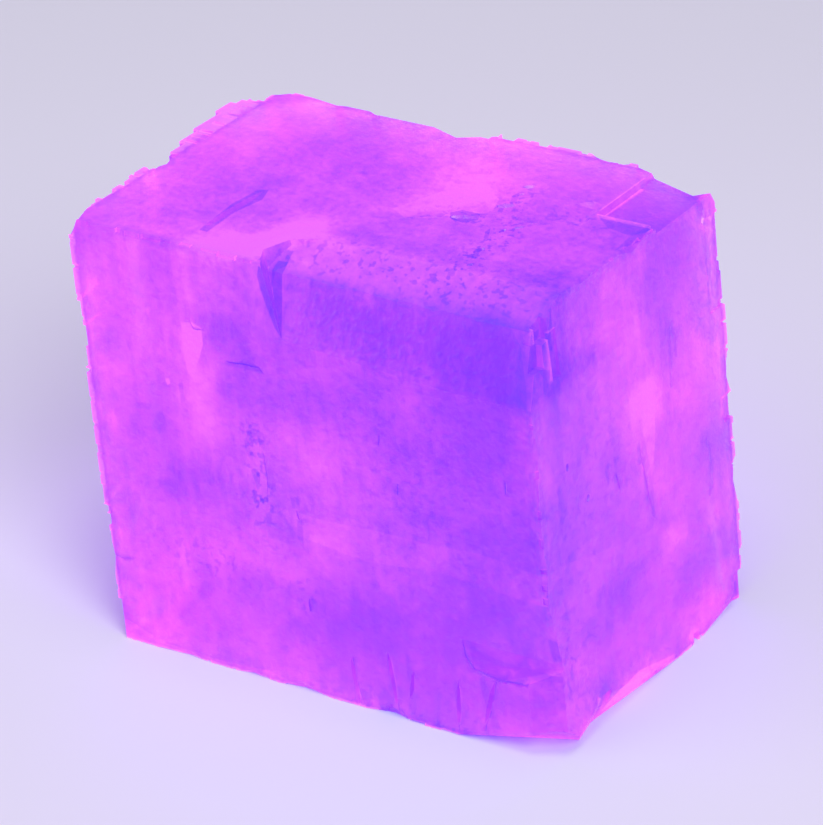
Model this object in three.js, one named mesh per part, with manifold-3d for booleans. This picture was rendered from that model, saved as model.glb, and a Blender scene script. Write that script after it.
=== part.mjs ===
// Cleavage block of Iceland spar (clear calcite), a leaning six-sided rhomb with a flat base.
// Millimetres, +Z up, origin at the middle of the base of the block's box.
// Everything is shaped in cleavage coordinates [along, back, up], measured along the three cleavage
// edges from the front left bottom corner, and is sheared into real space at the end. A plain box in
// those coordinates is therefore a ledge whose sides all lie on cleavage planes.
import * as THREE from 'three';
import { ConvexGeometry } from 'three/addons/geometries/ConvexGeometry.js';
import { mergeVertices } from 'three/addons/utils/BufferGeometryUtils.js';
import Module from 'manifold-3d';

const wasm = await Module();
wasm.setup();

// ---------------------------------------------------------------- driving dimensions
const CLEAVAGE_ANGLE = 78.08; // degrees, the acute angle between two cleavage edges of calcite
const LENGTH = 60; // long edge, left to right
const DEPTH = 40; // second edge, front to back
const RISE = 54; // third edge, up the sides
const CLEAR = 1.5; // how far a cutter stands out of the stone
const MERGE_DISTANCE = 1e-5;

// Bevel broken off the right-hand part of the front top edge: a rough band, a crease and a facet.
const BAND_INSET = 8; // how far back the rough band starts on the top
const CREASE_INSET = 2.5;
const CREASE_DROP = 2.2;
const FACET_DROP_LEFT = 8.6;
const FACET_DROP_RIGHT = 10.2;
const BAND_ROUGHNESS = 0.15;
const BAND_STEPS = [30, 9]; // lumps along and across the band
const BAND_SEED = 77;
const BEVEL_LEAN = 0.21; // the bevel's left end moves this far right for each millimetre down
const BEVEL_OUTLINE = [
  [26.9, -CLEAR],
  [24.4, 2.9],
  [25.6, 6.3],
  [31, 9.2],
  [LENGTH + 4, 9.2],
  [LENGTH + 4, -CLEAR],
];

// Rough breaks: the upright back left corner, and a spall low on the back.
const CORNER_ROUGHNESS = 0.32;
const CORNER_STEPS = [7, 18];
const CORNER_SEED = 411;
const SPALL_ROUGHNESS = 0.2;
const SPALL_STEPS = [12, 9];
const SPALL_SEED = 905;

// Thin plates still standing on the left and back faces: thickness, then the outline's corners,
// each [back, up] on the left face and [along, up] on the back face.
const LEFT_PLATES = [
  [0.5, [[5.2, 12], [15.4, 16.4], [15.4, RISE], [5.2, RISE]]],
  [1, [[12, 31], [14.8, 33.4], [14.8, RISE], [12, RISE]]],
  [0.4, [[0, 17.5], [12, 19.2], [10.4, 35.2], [0, 35.2]]],
  [0.45, [[0, 43.6], [9, 44.8], [6.8, 52.6], [0, 52.6]]],
  [0.8, [[19.2, 11], [29, 5.6], [36.6, 7.8], [36.6, RISE], [19.2, RISE]]],
  [1.7, [[22.4, 20], [27, 14], [36.2, 17.2], [36.2, RISE], [22.4, RISE]]],
  [2.4, [[26, 30], [30, 23.5], [35.6, 26.5], [35.6, RISE], [26, RISE]]],
  [3.2, [[31.4, 41], [34.4, 36.5], [34.4, RISE], [31.4, RISE]]],
];
const BACK_PLATES = [
  [0.6, [[31, 28], [36.4, 22.6], [49.6, 24.8], [49.6, RISE], [31, RISE]]],
  [1, [[38, 33], [45.4, 34.6], [43.8, RISE - 8], [38.8, RISE - 9]]],
  [0.4, [[47, 9], [52.4, 5.5], [LENGTH, 6.6], [LENGTH, 44], [47, 41]]],
  [0.7, [[6, 7.4], [10.2, 4], [21, 5], [21, 25.6], [9, 29]]],
];

// Ledges cut into the faces along cleavage planes, each [along, back, up] from and to.
const OUT = 9; // past any face
const LEDGES = [
  [[52.4, LENGTH + OUT], [27, DEPTH + OUT], [RISE - 0.9, RISE + OUT]], // step at the top right corner
  [[8.4, 30.4], [39.4, DEPTH + OUT], [36, RISE + OUT]], // recessed panel on the back
  [[14, 30.4], [38.9, DEPTH + OUT], [43, RISE + OUT]],
  [[-OUT, 12.5], [38.6, DEPTH + OUT], [-OUT, 10.4]],
  [[-OUT, 0.7], [17, DEPTH + OUT], [-OUT, 6.2]],
  [[-OUT, 0.35], [-OUT, 4.4], [37.9, 40.6]], // nicks in the front left edge
  [[-OUT, 0.45], [-OUT, 1.6], [14.8, 16.4]],
  [[-OUT, 0.5], [-OUT, 2.2], [-OUT, 5.2]],
  [[59.7, LENGTH + OUT], [37.2, DEPTH + OUT], [38.6, 50.4]], // strip down the back of the right face
  [[59.5, LENGTH + OUT], [38.4, DEPTH + OUT], [24, 27.2]],
  [[59.4, LENGTH + OUT], [38.1, DEPTH + OUT], [-OUT, 4.2]],
  [[58.7, LENGTH + OUT], [2.9, 4.8], [50.2, RISE + OUT]], // blocky chips at the front right top corner
  [[59.2, LENGTH + OUT], [-OUT, 3.1], [47.6, RISE + OUT]],
  [[58.2, LENGTH + OUT], [-OUT, 2.2], [50.4, RISE + OUT]],
  [[59.35, LENGTH + OUT], [4.6, 6.4], [45.2, 50.8]],
  [[59.2, LENGTH + OUT], [8.6, 10.8], [1.8, 3.9]], // notches low on the right face
  [[59.1, LENGTH + OUT], [28.5, 29.7], [-OUT, 1.3]],
  [[59.5, LENGTH + OUT], [19.8, 20.7], [-OUT, 0.9]],
];

// Soft chips along the edges: edge, start, end, deepest place, inset on the edge's two faces.
const CHIPS = [
  ['topBack', 3.6, 12.4, 8.8, 0.9, 1.6],
  ['topBack', 12, 17.8, 14.8, 1.2, 1.2],
  ['topBack', 19.6, 31.2, 26.8, 2.5, 2.2],
  ['topBack', 49.2, LENGTH + CLEAR, 58.6, 3.1, 5.4],
  ['topBack', 42.4, 49.6, 46.4, 0.5, 0.9],
  ['topLeft', 14.4, 19.4, 16.6, 0.9, 1.4],
  ['topLeft', -CLEAR, 3.4, 0.2, 1.1, 2.4],
  ['topRight', 9.4, 14.6, 12.2, 0.8, 0.6],
  ['topRight', 19, 25.8, 21.8, 0.7, 0.9],
  ['bottomRight', 0, 26.4, 9, 1.9, 3.7],
  ['bottomRight', 30.4, DEPTH + CLEAR, 38.8, 1, 2.4],
  ['bottomFront', 16.2, 21.4, 18.4, 0.5, 0.7],
  ['bottomFront', 22, 29.6, 25.4, 0.6, 1.1],
  ['bottomFront', 33.6, 41.4, 37.4, 0.8, 1.5],
  ['bottomFront', 5.2, 12, 9.6, 0.4, 0.8],
  ['bottomBack', 18.4, 33.2, 25.6, 2.2, 3.4],
  ['bottomBack', 41.4, 50.2, 44, 0.9, 1.5],
  ['bottomLeft', 6, 15.6, 9, 1, 1.9],
  ['backLeft', 2.2, 19.4, 10, 2.6, 1.3],
  ['backRight', 12, 19.4, 16.2, 0.7, 0.5],
  ['backRight', 27, 33.4, 29.4, 0.6, 0.4],
  ['frontRight', 20.2, 27.2, 23, 0.5, 0.4],
  ['frontRight', 33.6, 41.8, 38.6, 0.4, 0.7],
  ['frontLeft', 8.4, 13.6, 10.8, 0.4, 0.5],
];

// Grooves and pits on flat faces: middle of the mouth, the way in, half length, half width, depth.
const PIT_SIDES = 7; // corners of a pit's mouth
const KEEL_SHARE = 0.6; // length of a pit's bottom over the length of its mouth
const GROOVES = [
  [[15.2, 10, RISE], [0, 0, -1], [0.03, 1, 0], 5.5, 0.55, 0.5], // slit in the top
  [[39.7, 19.8, RISE], [0, 0, -1], [1, 0.45, 0], 1.9, 0.5, 0.5], // a chain of pits across the top
  [[42.2, 24.3, RISE], [0, 0, -1], [0.9, 0.6, 0], 1.1, 0.55, 0.45],
  [[43, 25.7, RISE], [0, 0, -1], [0.4, 0.9, 0], 0.5, 0.35, 0.3],
  [[42.1, 27.5, RISE], [0, 0, -1], [0.4, 0.9, 0], 0.5, 0.25, 0.25],
  [[41.8, 29.7, RISE], [0, 0, -1], [0.8, 0.5, 0], 0.7, 0.45, 0.25],
  [[46.6, 20.1, RISE], [0, 0, -1], [0.6, 0.8, 0], 0.8, 0.3, 0.3],
  [[45.4, 18.6, RISE], [0, 0, -1], [0.2, 1, 0], 0.6, 0.25, 0.25],
  [[45.8, 13.3, RISE], [0, 0, -1], [0.3, 1, 0], 0.9, 0.35, 0.3],
  [[46.9, 9.9, RISE], [0, 0, -1], [0.5, 0.8, 0], 0.5, 0.25, 0.25],
  [[33, 0, 3], [0, 1, 0], [-0.09, 0, 1], 3.4, 0.3, 0.7], // fissures above the foot of the front
  [[38.2, 0, 4.8], [0, 1, 0], [-0.08, 0, 1], 3.6, 0.3, 0.8],
  [[40.8, 0, 4.8], [0, 1, 0], [0.2, 0, 1], 2, 0.25, 0.5],
  [[46.9, 0, 4], [0, 1, 0], [0.08, 0, 1], 3, 0.3, 0.7],
  [[51.1, 0, 5.3], [0, 1, 0], [0.3, 0, 1], 3.2, 0.3, 0.6],
  [[37.2, 0, 0.9], [0, 1, 0], [0.6, 0, 0.7], 0.9, 0.6, 0.6],
  [[LENGTH, 5.9, 34.2], [-1, 0, 0], [0, 0.1, 1], 0.5, 0.3, 0.3], // pits on the right face
  [[LENGTH, 9.4, 28.7], [-1, 0, 0], [0, 0.2, 1], 0.5, 0.3, 0.3],
  [[LENGTH, 37, 51], [-1, 0, 0], [0, 0.3, 1], 1, 0.35, 0.4],
];

// Small nicks along every edge, made by a seeded draw.
const NICK_SEED = 20143;
const NICK_SPACING = [1, 4.2];
const NICK_LENGTH = [0.5, 2.6];
const NICK_INSET = [0.12, 0.62];

// ---------------------------------------------------------------- cleavage frame
const acute = THREE.MathUtils.degToRad(CLEAVAGE_ANGLE);
const lean = Math.cos(acute);
const upBack = (lean + lean * lean) / Math.sin(acute);
const alongAxis = new THREE.Vector3(1, 0, 0);
const backAxis = new THREE.Vector3(lean, Math.sin(acute), 0);
const upAxis = new THREE.Vector3(-lean, upBack, Math.sqrt(1 - lean * lean - upBack * upBack));

function cleavageToReal() {
  const middleX = (LENGTH + (DEPTH - RISE) * lean) / 2;
  const middleY = (DEPTH * backAxis.y + RISE * upAxis.y) / 2;
  return new THREE.Matrix4().makeBasis(alongAxis, backAxis, upAxis)
    .premultiply(new THREE.Matrix4().makeTranslation(-middleX, -middleY, 0));
}

// ---------------------------------------------------------------- solids
function toSolid(geometry) {
  const bare = geometry.clone();
  bare.deleteAttribute('normal');
  bare.deleteAttribute('uv');
  const merged = mergeVertices(bare, MERGE_DISTANCE);
  return new wasm.Manifold(new wasm.Mesh({
    numProp: 3,
    vertProperties: new Float32Array(merged.attributes.position.array),
    triVerts: new Uint32Array(merged.index.array),
  }));
}

function toGeometry(solid) {
  const mesh = solid.getMesh();
  const geometry = new THREE.BufferGeometry();
  geometry.setAttribute('position', new THREE.BufferAttribute(new Float32Array(mesh.vertProperties), 3));
  geometry.setIndex(new THREE.BufferAttribute(new Uint32Array(mesh.triVerts), 1));
  return geometry;
}

function ledge([along, back, up]) {
  const box = new THREE.BoxGeometry(along[1] - along[0], back[1] - back[0], up[1] - up[0]);
  box.translate((along[0] + along[1]) / 2, (back[0] + back[1]) / 2, (up[0] + up[1]) / 2);
  return toSolid(box);
}

function hull(points) {
  return toSolid(new ConvexGeometry(points.map((point) => new THREE.Vector3(...point))));
}

function join(solids) {
  return solids.reduce((sum, solid) => sum.add(solid));
}

// A plate with an outline on a face, standing out of the face by its thickness.
function plate(outline, outer, place) {
  return hull(outline.flatMap((corner) => [place(corner, outer), place(corner, -1)]));
}

function plates() {
  const onLeft = ([back, up], out) => [-out, back, up];
  const onBack = ([along, up], out) => [along, DEPTH + out, up];
  return join([
    ...LEFT_PLATES.map(([thickness, outline]) => plate(outline, thickness, onLeft)),
    ...BACK_PLATES.map(([thickness, outline]) => plate(outline, thickness, onBack)),
  ]);
}

// A repeatable stream of numbers from 0 to 1.
function numbersFrom(seed) {
  let state = seed;
  return () => {
    state = (state + 0x6d2b79f5) | 0;
    let mixed = Math.imul(state ^ (state >>> 15), 1 | state);
    mixed = (mixed + Math.imul(mixed ^ (mixed >>> 7), 61 | mixed)) ^ mixed;
    return ((mixed ^ (mixed >>> 14)) >>> 0) / 4294967296;
  };
}

function between([low, high], share) {
  return low + (high - low) * share;
}

// ---------------------------------------------------------------- edges
// Where each edge starts, the way it runs, and the ways into the stone on its two faces.
const EDGES = {
  topFront: [[0, 0, RISE], [1, 0, 0], [0, 1, 0], [0, 0, -1], LENGTH],
  topBack: [[0, DEPTH, RISE], [1, 0, 0], [0, -1, 0], [0, 0, -1], LENGTH],
  topLeft: [[0, 0, RISE], [0, 1, 0], [1, 0, 0], [0, 0, -1], DEPTH],
  topRight: [[LENGTH, 0, RISE], [0, 1, 0], [-1, 0, 0], [0, 0, -1], DEPTH],
  bottomFront: [[0, 0, 0], [1, 0, 0], [0, 1, 0], [0, 0, 1], LENGTH],
  bottomBack: [[0, DEPTH, 0], [1, 0, 0], [0, -1, 0], [0, 0, 1], LENGTH],
  bottomLeft: [[0, 0, 0], [0, 1, 0], [1, 0, 0], [0, 0, 1], DEPTH],
  bottomRight: [[LENGTH, 0, 0], [0, 1, 0], [-1, 0, 0], [0, 0, 1], DEPTH],
  frontLeft: [[0, 0, 0], [0, 0, 1], [1, 0, 0], [0, 1, 0], RISE],
  frontRight: [[LENGTH, 0, 0], [0, 0, 1], [-1, 0, 0], [0, 1, 0], RISE],
  backLeft: [[0, DEPTH, 0], [0, 0, 1], [1, 0, 0], [0, -1, 0], RISE],
  backRight: [[LENGTH, DEPTH, 0], [0, 0, 1], [-1, 0, 0], [0, -1, 0], RISE],
};

function onEdge([start, run, first, second], distance, inFirst, inSecond) {
  return start.map((value, axis) => (
    value + run[axis] * distance + first[axis] * inFirst + second[axis] * inSecond
  ));
}

// A four-sided chip that is deepest at one place and runs out to nothing at both ends.
function chip([name, from, to, deepest, inFirst, inSecond]) {
  const edge = EDGES[name];
  return hull([
    onEdge(edge, from, 0, 0),
    onEdge(edge, to, 0, 0),
    onEdge(edge, from, -CLEAR, -CLEAR),
    onEdge(edge, to, -CLEAR, -CLEAR),
    onEdge(edge, deepest, inFirst, 0),
    onEdge(edge, deepest, 0, inSecond),
    onEdge(edge, deepest, inFirst, -CLEAR),
    onEdge(edge, deepest, -CLEAR, inSecond),
  ]);
}

function nick(edge, middle, halfLength, inFirst, inSecond) {
  const ends = [
    onEdge(edge, middle - halfLength, -CLEAR, -CLEAR),
    onEdge(edge, middle + halfLength, inFirst, inSecond),
  ];
  return ledge([0, 1, 2].map((axis) => [
    Math.min(ends[0][axis], ends[1][axis]),
    Math.max(ends[0][axis], ends[1][axis]),
  ]));
}

function edgeNicks() {
  const draw = numbersFrom(NICK_SEED);
  const nicks = [];
  for (const edge of Object.values(EDGES)) {
    const length = edge[4];
    let middle = between(NICK_SPACING, draw());
    while (middle < length) {
      const halfLength = between(NICK_LENGTH, draw() ** 2) / 2;
      const inFirst = between(NICK_INSET, draw() ** 2);
      const inSecond = between(NICK_INSET, draw() ** 2);
      nicks.push(nick(edge, middle, halfLength, inFirst, inSecond));
      middle += between(NICK_SPACING, draw());
    }
  }
  return join(nicks);
}

// ---------------------------------------------------------------- grooves and rough breaks
// A shallow pit whose mouth is a stretched ring on the face and which narrows to a short line.
function groove([mouth, inward, run, halfLength, halfWidth, depth]) {
  const middle = new THREE.Vector3(...mouth);
  const down = new THREE.Vector3(...inward);
  const lengthways = new THREE.Vector3(...run).normalize();
  const sideways = new THREE.Vector3().crossVectors(down, lengthways);
  const points = [];
  for (let side = 0; side < PIT_SIDES; side += 1) {
    const turn = (side / PIT_SIDES) * 2 * Math.PI;
    const rim = middle.clone()
      .addScaledVector(lengthways, Math.cos(turn) * halfLength)
      .addScaledVector(sideways, Math.sin(turn) * halfWidth);
    points.push(rim.clone().addScaledVector(down, -CLEAR).toArray(), rim.toArray());
  }
  const keel = halfLength * KEEL_SHARE;
  points.push(middle.clone().addScaledVector(down, depth).addScaledVector(lengthways, keel).toArray());
  points.push(middle.clone().addScaledVector(down, depth).addScaledVector(lengthways, -keel).toArray());
  return hull(points);
}

// A cutter with one rough side. The rough side spans four corners, and the cutter fills the
// space from there for a distance along the way out.
function roughCutter(corners, wayOut, steps, roughness, seed) {
  const draw = numbersFrom(seed);
  const [nearLeft, nearRight, farLeft, farRight] = corners.map((corner) => new THREE.Vector3(...corner));
  const away = new THREE.Vector3(...wayOut);
  const box = new THREE.BoxGeometry(1, 1, 1, steps[0], steps[1], 1);
  box.deleteAttribute('normal');
  box.deleteAttribute('uv');
  const geometry = mergeVertices(box, MERGE_DISTANCE);
  const position = geometry.attributes.position;
  const place = new THREE.Vector3();
  for (let index = 0; index < position.count; index += 1) {
    place.fromBufferAttribute(position, index);
    const across = place.x + 0.5;
    const deep = place.y + 0.5;
    const bump = roughness * (2 * draw() - 1);
    const onRoughSide = place.z < 0;
    const point = nearLeft.clone().lerp(nearRight, across).lerp(farLeft.clone().lerp(farRight, across), deep);
    point.addScaledVector(away, onRoughSide ? bump / away.length() : 1);
    position.setXYZ(index, point.x, point.y, point.z);
  }
  return toSolid(geometry);
}

// ---------------------------------------------------------------- the bevel on the front top edge
// The space that the bevel may take: its outline on the top, leaning down the front.
function bevelSpace(top, foot) {
  const outlineAt = (up) => BEVEL_OUTLINE.map(([along, back]) => [
    along - BEVEL_LEAN * (up - RISE), back, up,
  ]);
  return hull([...outlineAt(top), ...outlineAt(foot)]);
}

function bevel() {
  const top = RISE + 2 * CLEAR;
  const foot = RISE - FACET_DROP_RIGHT - 2 * CLEAR;
  const left = BEVEL_OUTLINE[1][0] - CLEAR;
  const right = LENGTH + 2 * CLEAR;
  const front = -2 * CLEAR;
  const rear = BAND_INSET + CLEAR;
  const bandHeight = (back) => RISE - (CREASE_DROP * (BAND_INSET - back)) / (BAND_INSET - CREASE_INSET);
  const band = roughCutter(
    [
      [left, front, bandHeight(front)],
      [right, front, bandHeight(front)],
      [left, rear, bandHeight(rear)],
      [right, rear, bandHeight(rear)],
    ],
    [0, 0, FACET_DROP_RIGHT],
    BAND_STEPS,
    BAND_ROUGHNESS,
    BAND_SEED,
  );
  const onFacet = (along, drop, back) => [
    along, back, RISE - drop + (back * (drop - CREASE_DROP)) / CREASE_INSET,
  ];
  const facet = hull([
    onFacet(left, FACET_DROP_LEFT, -CLEAR),
    onFacet(right, FACET_DROP_RIGHT, -CLEAR),
    onFacet(left, FACET_DROP_LEFT, 2 * CLEAR),
    onFacet(right, FACET_DROP_RIGHT, 2 * CLEAR),
    [left, front, RISE - FACET_DROP_LEFT],
    [right, front, RISE - FACET_DROP_RIGHT],
    [left, front, top],
    [right, front, top],
  ]);
  return bevelSpace(top, foot).intersect(band.add(facet));
}

// ---------------------------------------------------------------- larger breaks
// The front right edge near its foot: a thin chamfer below, a flake with a ledge above it, and the
// bottom corner cut off.
function footOfFrontRightEdge() {
  const chamfer = hull([
    [56.4, 0, -CLEAR], [56.4, 0, 11.4], [56.4, -CLEAR, -CLEAR], [56.4, -CLEAR, 11.4],
    [LENGTH + 1, 2.2, -CLEAR], [LENGTH + 1, 2.2, 11.4],
    [LENGTH + 1, -CLEAR, -CLEAR], [LENGTH + 1, -CLEAR, 11.4],
  ]);
  const flake = hull([
    [48.2, 0, 12.8], [49.6, 0, 9.3], [52.8, 0, 8.7], [56.3, 0, 9.2], [53.6, 0, 16.6],
    [48.2, -CLEAR, 12.8], [49.6, -CLEAR, 9.3], [56.3, -CLEAR, 9.2], [53.6, -CLEAR, 16.6],
    [56.9, 1.2, 11.1], [52.4, 0.6, 10.2], [LENGTH + 1, 2.1, 11.4],
    [LENGTH + 1, 0, 21.4], [LENGTH + 1, -CLEAR, 21.4], [LENGTH + 1, -CLEAR, 11],
  ]);
  const corner = hull([
    [45.6, 0, 0], [45.6, -CLEAR, -CLEAR], [58.4, 5.2, 0], [58.4, 5.2, -CLEAR],
    [LENGTH, 1, 3.9], [LENGTH + 2, 6.4, 0], [LENGTH + 2, 6.4, -CLEAR],
    [LENGTH + 2, -CLEAR, 3.9], [LENGTH + 2, -CLEAR, -CLEAR], [56, -CLEAR, 2.4],
  ]);
  return join([chamfer, flake, corner]);
}

// The upright corner at the back left, broken rough for about half its height.
function backLeftBreak() {
  return roughCutter(
    [[-5.4, 33.4, RISE + 3], [4.6, 41.4, RISE + 3], [-7, 38, 22], [-0.4, 43.2, 22]],
    [-7, 8, 0],
    CORNER_STEPS,
    CORNER_ROUGHNESS,
    CORNER_SEED,
  );
}

// Shallow scars on the right face and on the top, and a longer spall low on the back.
function broadScars() {
  const topScar = hull([
    [49, 28.2, RISE], [48.9, 26, RISE], [50.2, 24.2, RISE], [52.4, 23.4, RISE], [52.6, 25, RISE],
    [51.8, 29.4, RISE], [50.4, 29.6, RISE], [49, 28.2, RISE + 1], [48.9, 26, RISE + 1],
    [50.2, 24.2, RISE + 1], [52.4, 23.4, RISE + 1], [52.6, 25, RISE + 1], [51.8, 29.4, RISE + 1],
    [50.4, 29.6, RISE + 1], [51.7, 25, RISE - 0.35], [51, 28.4, RISE - 0.35],
  ]);
  const cornerScar = hull([
    [LENGTH, 1.2, 53.4], [LENGTH, 5.8, 43.7], [LENGTH, 18.1, 43.4], [LENGTH, 22.8, 46.9], [LENGTH, 15.5, 55],
    [LENGTH + 1, 1.2, 53.4], [LENGTH + 1, 5.8, 43.7], [LENGTH + 1, 18.1, 43.4],
    [LENGTH + 1, 22.8, 46.9], [LENGTH + 1, 15.5, 56],
    [LENGTH - 0.45, 7.4, 48.6], [LENGTH - 0.4, 14, 50.6], [LENGTH - 0.5, 6.8, 54.6],
  ]);
  const backSpall = roughCutter(
    [[56, DEPTH - 1.2, -3], [28, DEPTH - 1.9, -3], [51, DEPTH + 0.7, 17], [31, DEPTH + 0.6, 21]],
    [0, 8, 0],
    SPALL_STEPS,
    SPALL_ROUGHNESS,
    SPALL_SEED,
  );
  return join([topScar, cornerScar, backSpall]);
}

// ---------------------------------------------------------------- the block
function spar() {
  const core = ledge([[0, LENGTH], [0, DEPTH], [0, RISE]]);
  const cuts = join([
    edgeNicks(),
    ...LEDGES.map(ledge),
    ...CHIPS.map(chip),
    ...GROOVES.map(groove),
    bevel(),
    footOfFrontRightEdge(),
    backLeftBreak(),
    broadScars(),
  ]);
  const geometry = toGeometry(core.add(plates()).subtract(cuts));
  geometry.applyMatrix4(cleavageToReal());
  const clearPink = new THREE.MeshStandardMaterial({ color: 0xd765f2, roughness: 0.18, metalness: 0 });
  const mesh = new THREE.Mesh(geometry, clearPink);
  mesh.name = 'iceland_spar';
  return mesh;
}

const block = new THREE.Group();
block.add(spar());

export default block;
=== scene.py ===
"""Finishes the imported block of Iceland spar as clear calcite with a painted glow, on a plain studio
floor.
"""

import logging
import math
from dataclasses import dataclass, field
from enum import Enum
from typing import Any, Sequence

import bmesh
import bpy
import numpy as np
from mathutils import Matrix, Vector, noise


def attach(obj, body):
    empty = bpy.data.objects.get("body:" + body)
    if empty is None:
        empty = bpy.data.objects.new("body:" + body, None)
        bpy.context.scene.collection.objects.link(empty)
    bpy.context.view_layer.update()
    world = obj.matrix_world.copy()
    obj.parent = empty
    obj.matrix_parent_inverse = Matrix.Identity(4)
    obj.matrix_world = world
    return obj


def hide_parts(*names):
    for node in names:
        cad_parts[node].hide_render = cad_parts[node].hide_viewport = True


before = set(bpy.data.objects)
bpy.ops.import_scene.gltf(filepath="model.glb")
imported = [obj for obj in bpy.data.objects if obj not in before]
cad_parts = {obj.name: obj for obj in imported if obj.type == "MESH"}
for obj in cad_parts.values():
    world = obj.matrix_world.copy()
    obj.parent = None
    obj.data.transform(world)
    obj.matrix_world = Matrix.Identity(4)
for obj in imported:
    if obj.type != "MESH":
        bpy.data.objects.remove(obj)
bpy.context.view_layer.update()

LOG = logging.getLogger("iceland_spar")
MM = 0.001
NODE = "iceland_spar"
BODY = "root"

Colour = tuple[float, float, float]
Place = tuple[float, float, float]


# ------------------------------------------------------------------ the stone's own coordinates
@dataclass(frozen=True)
class Cleavage:
    """The three cleavage edges of the block, in millimetres from its front left bottom corner.

    A place (along, back, up) is measured along the long edge, the edge that runs back and the edge
    that rises, so each flat face of the stone lies at a constant value of one of the three.
    """

    acute_degrees: float = 78.08
    length: float = 60.0
    depth: float = 40.0
    rise: float = 54.0

    def size(self) -> Place:
        """How long the three edges are."""
        return self.length, self.depth, self.rise

    def axes(self) -> tuple[Vector, Vector, Vector]:
        """The unit directions of the three edges."""
        lean = math.cos(math.radians(self.acute_degrees))
        across = math.sin(math.radians(self.acute_degrees))
        up_back = (lean + lean * lean) / across
        rising = math.sqrt(1 - lean * lean - up_back * up_back)
        return Vector((1, 0, 0)), Vector((lean, across, 0)), Vector((-lean, up_back, rising))

    def corner(self) -> Vector:
        """The front left bottom corner in the shared frame, in millimetres."""
        along, back, up = self.axes()
        middle = (along * self.length + back * self.depth + up * self.rise) / 2
        return Vector((-middle.x, -middle.y, 0))

    def to_frame(self) -> Matrix:
        """The matrix that takes a place in millimetres to the shared frame in metres."""
        sheared = Matrix([list(axis) for axis in self.axes()]).transposed().to_4x4()
        return Matrix.Scale(MM, 4) @ Matrix.Translation(self.corner()) @ sheared


CLEAVAGE = Cleavage()


# ------------------------------------------------------------------ node trees
class Wire:
    """A number or vector socket that takes part in Python sums, each of which adds a Math node."""

    def __init__(self, graph: "Graph", socket: bpy.types.NodeSocket) -> None:
        """Wraps one output socket.

        Args:
            graph: The tree that the socket belongs to.
            socket: The output socket.
        """
        self.graph = graph
        self.socket = socket

    def __add__(self, other: Any) -> "Wire":
        """The sum."""
        return self.graph.math("ADD", self, other)

    def __sub__(self, other: Any) -> "Wire":
        """The difference."""
        return self.graph.math("SUBTRACT", self, other)

    def __rsub__(self, other: Any) -> "Wire":
        """The difference, with the plain number first."""
        return self.graph.math("SUBTRACT", other, self)

    def __mul__(self, other: Any) -> "Wire":
        """The product."""
        return self.graph.math("MULTIPLY", self, other)

    __radd__ = __add__
    __rmul__ = __mul__


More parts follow.
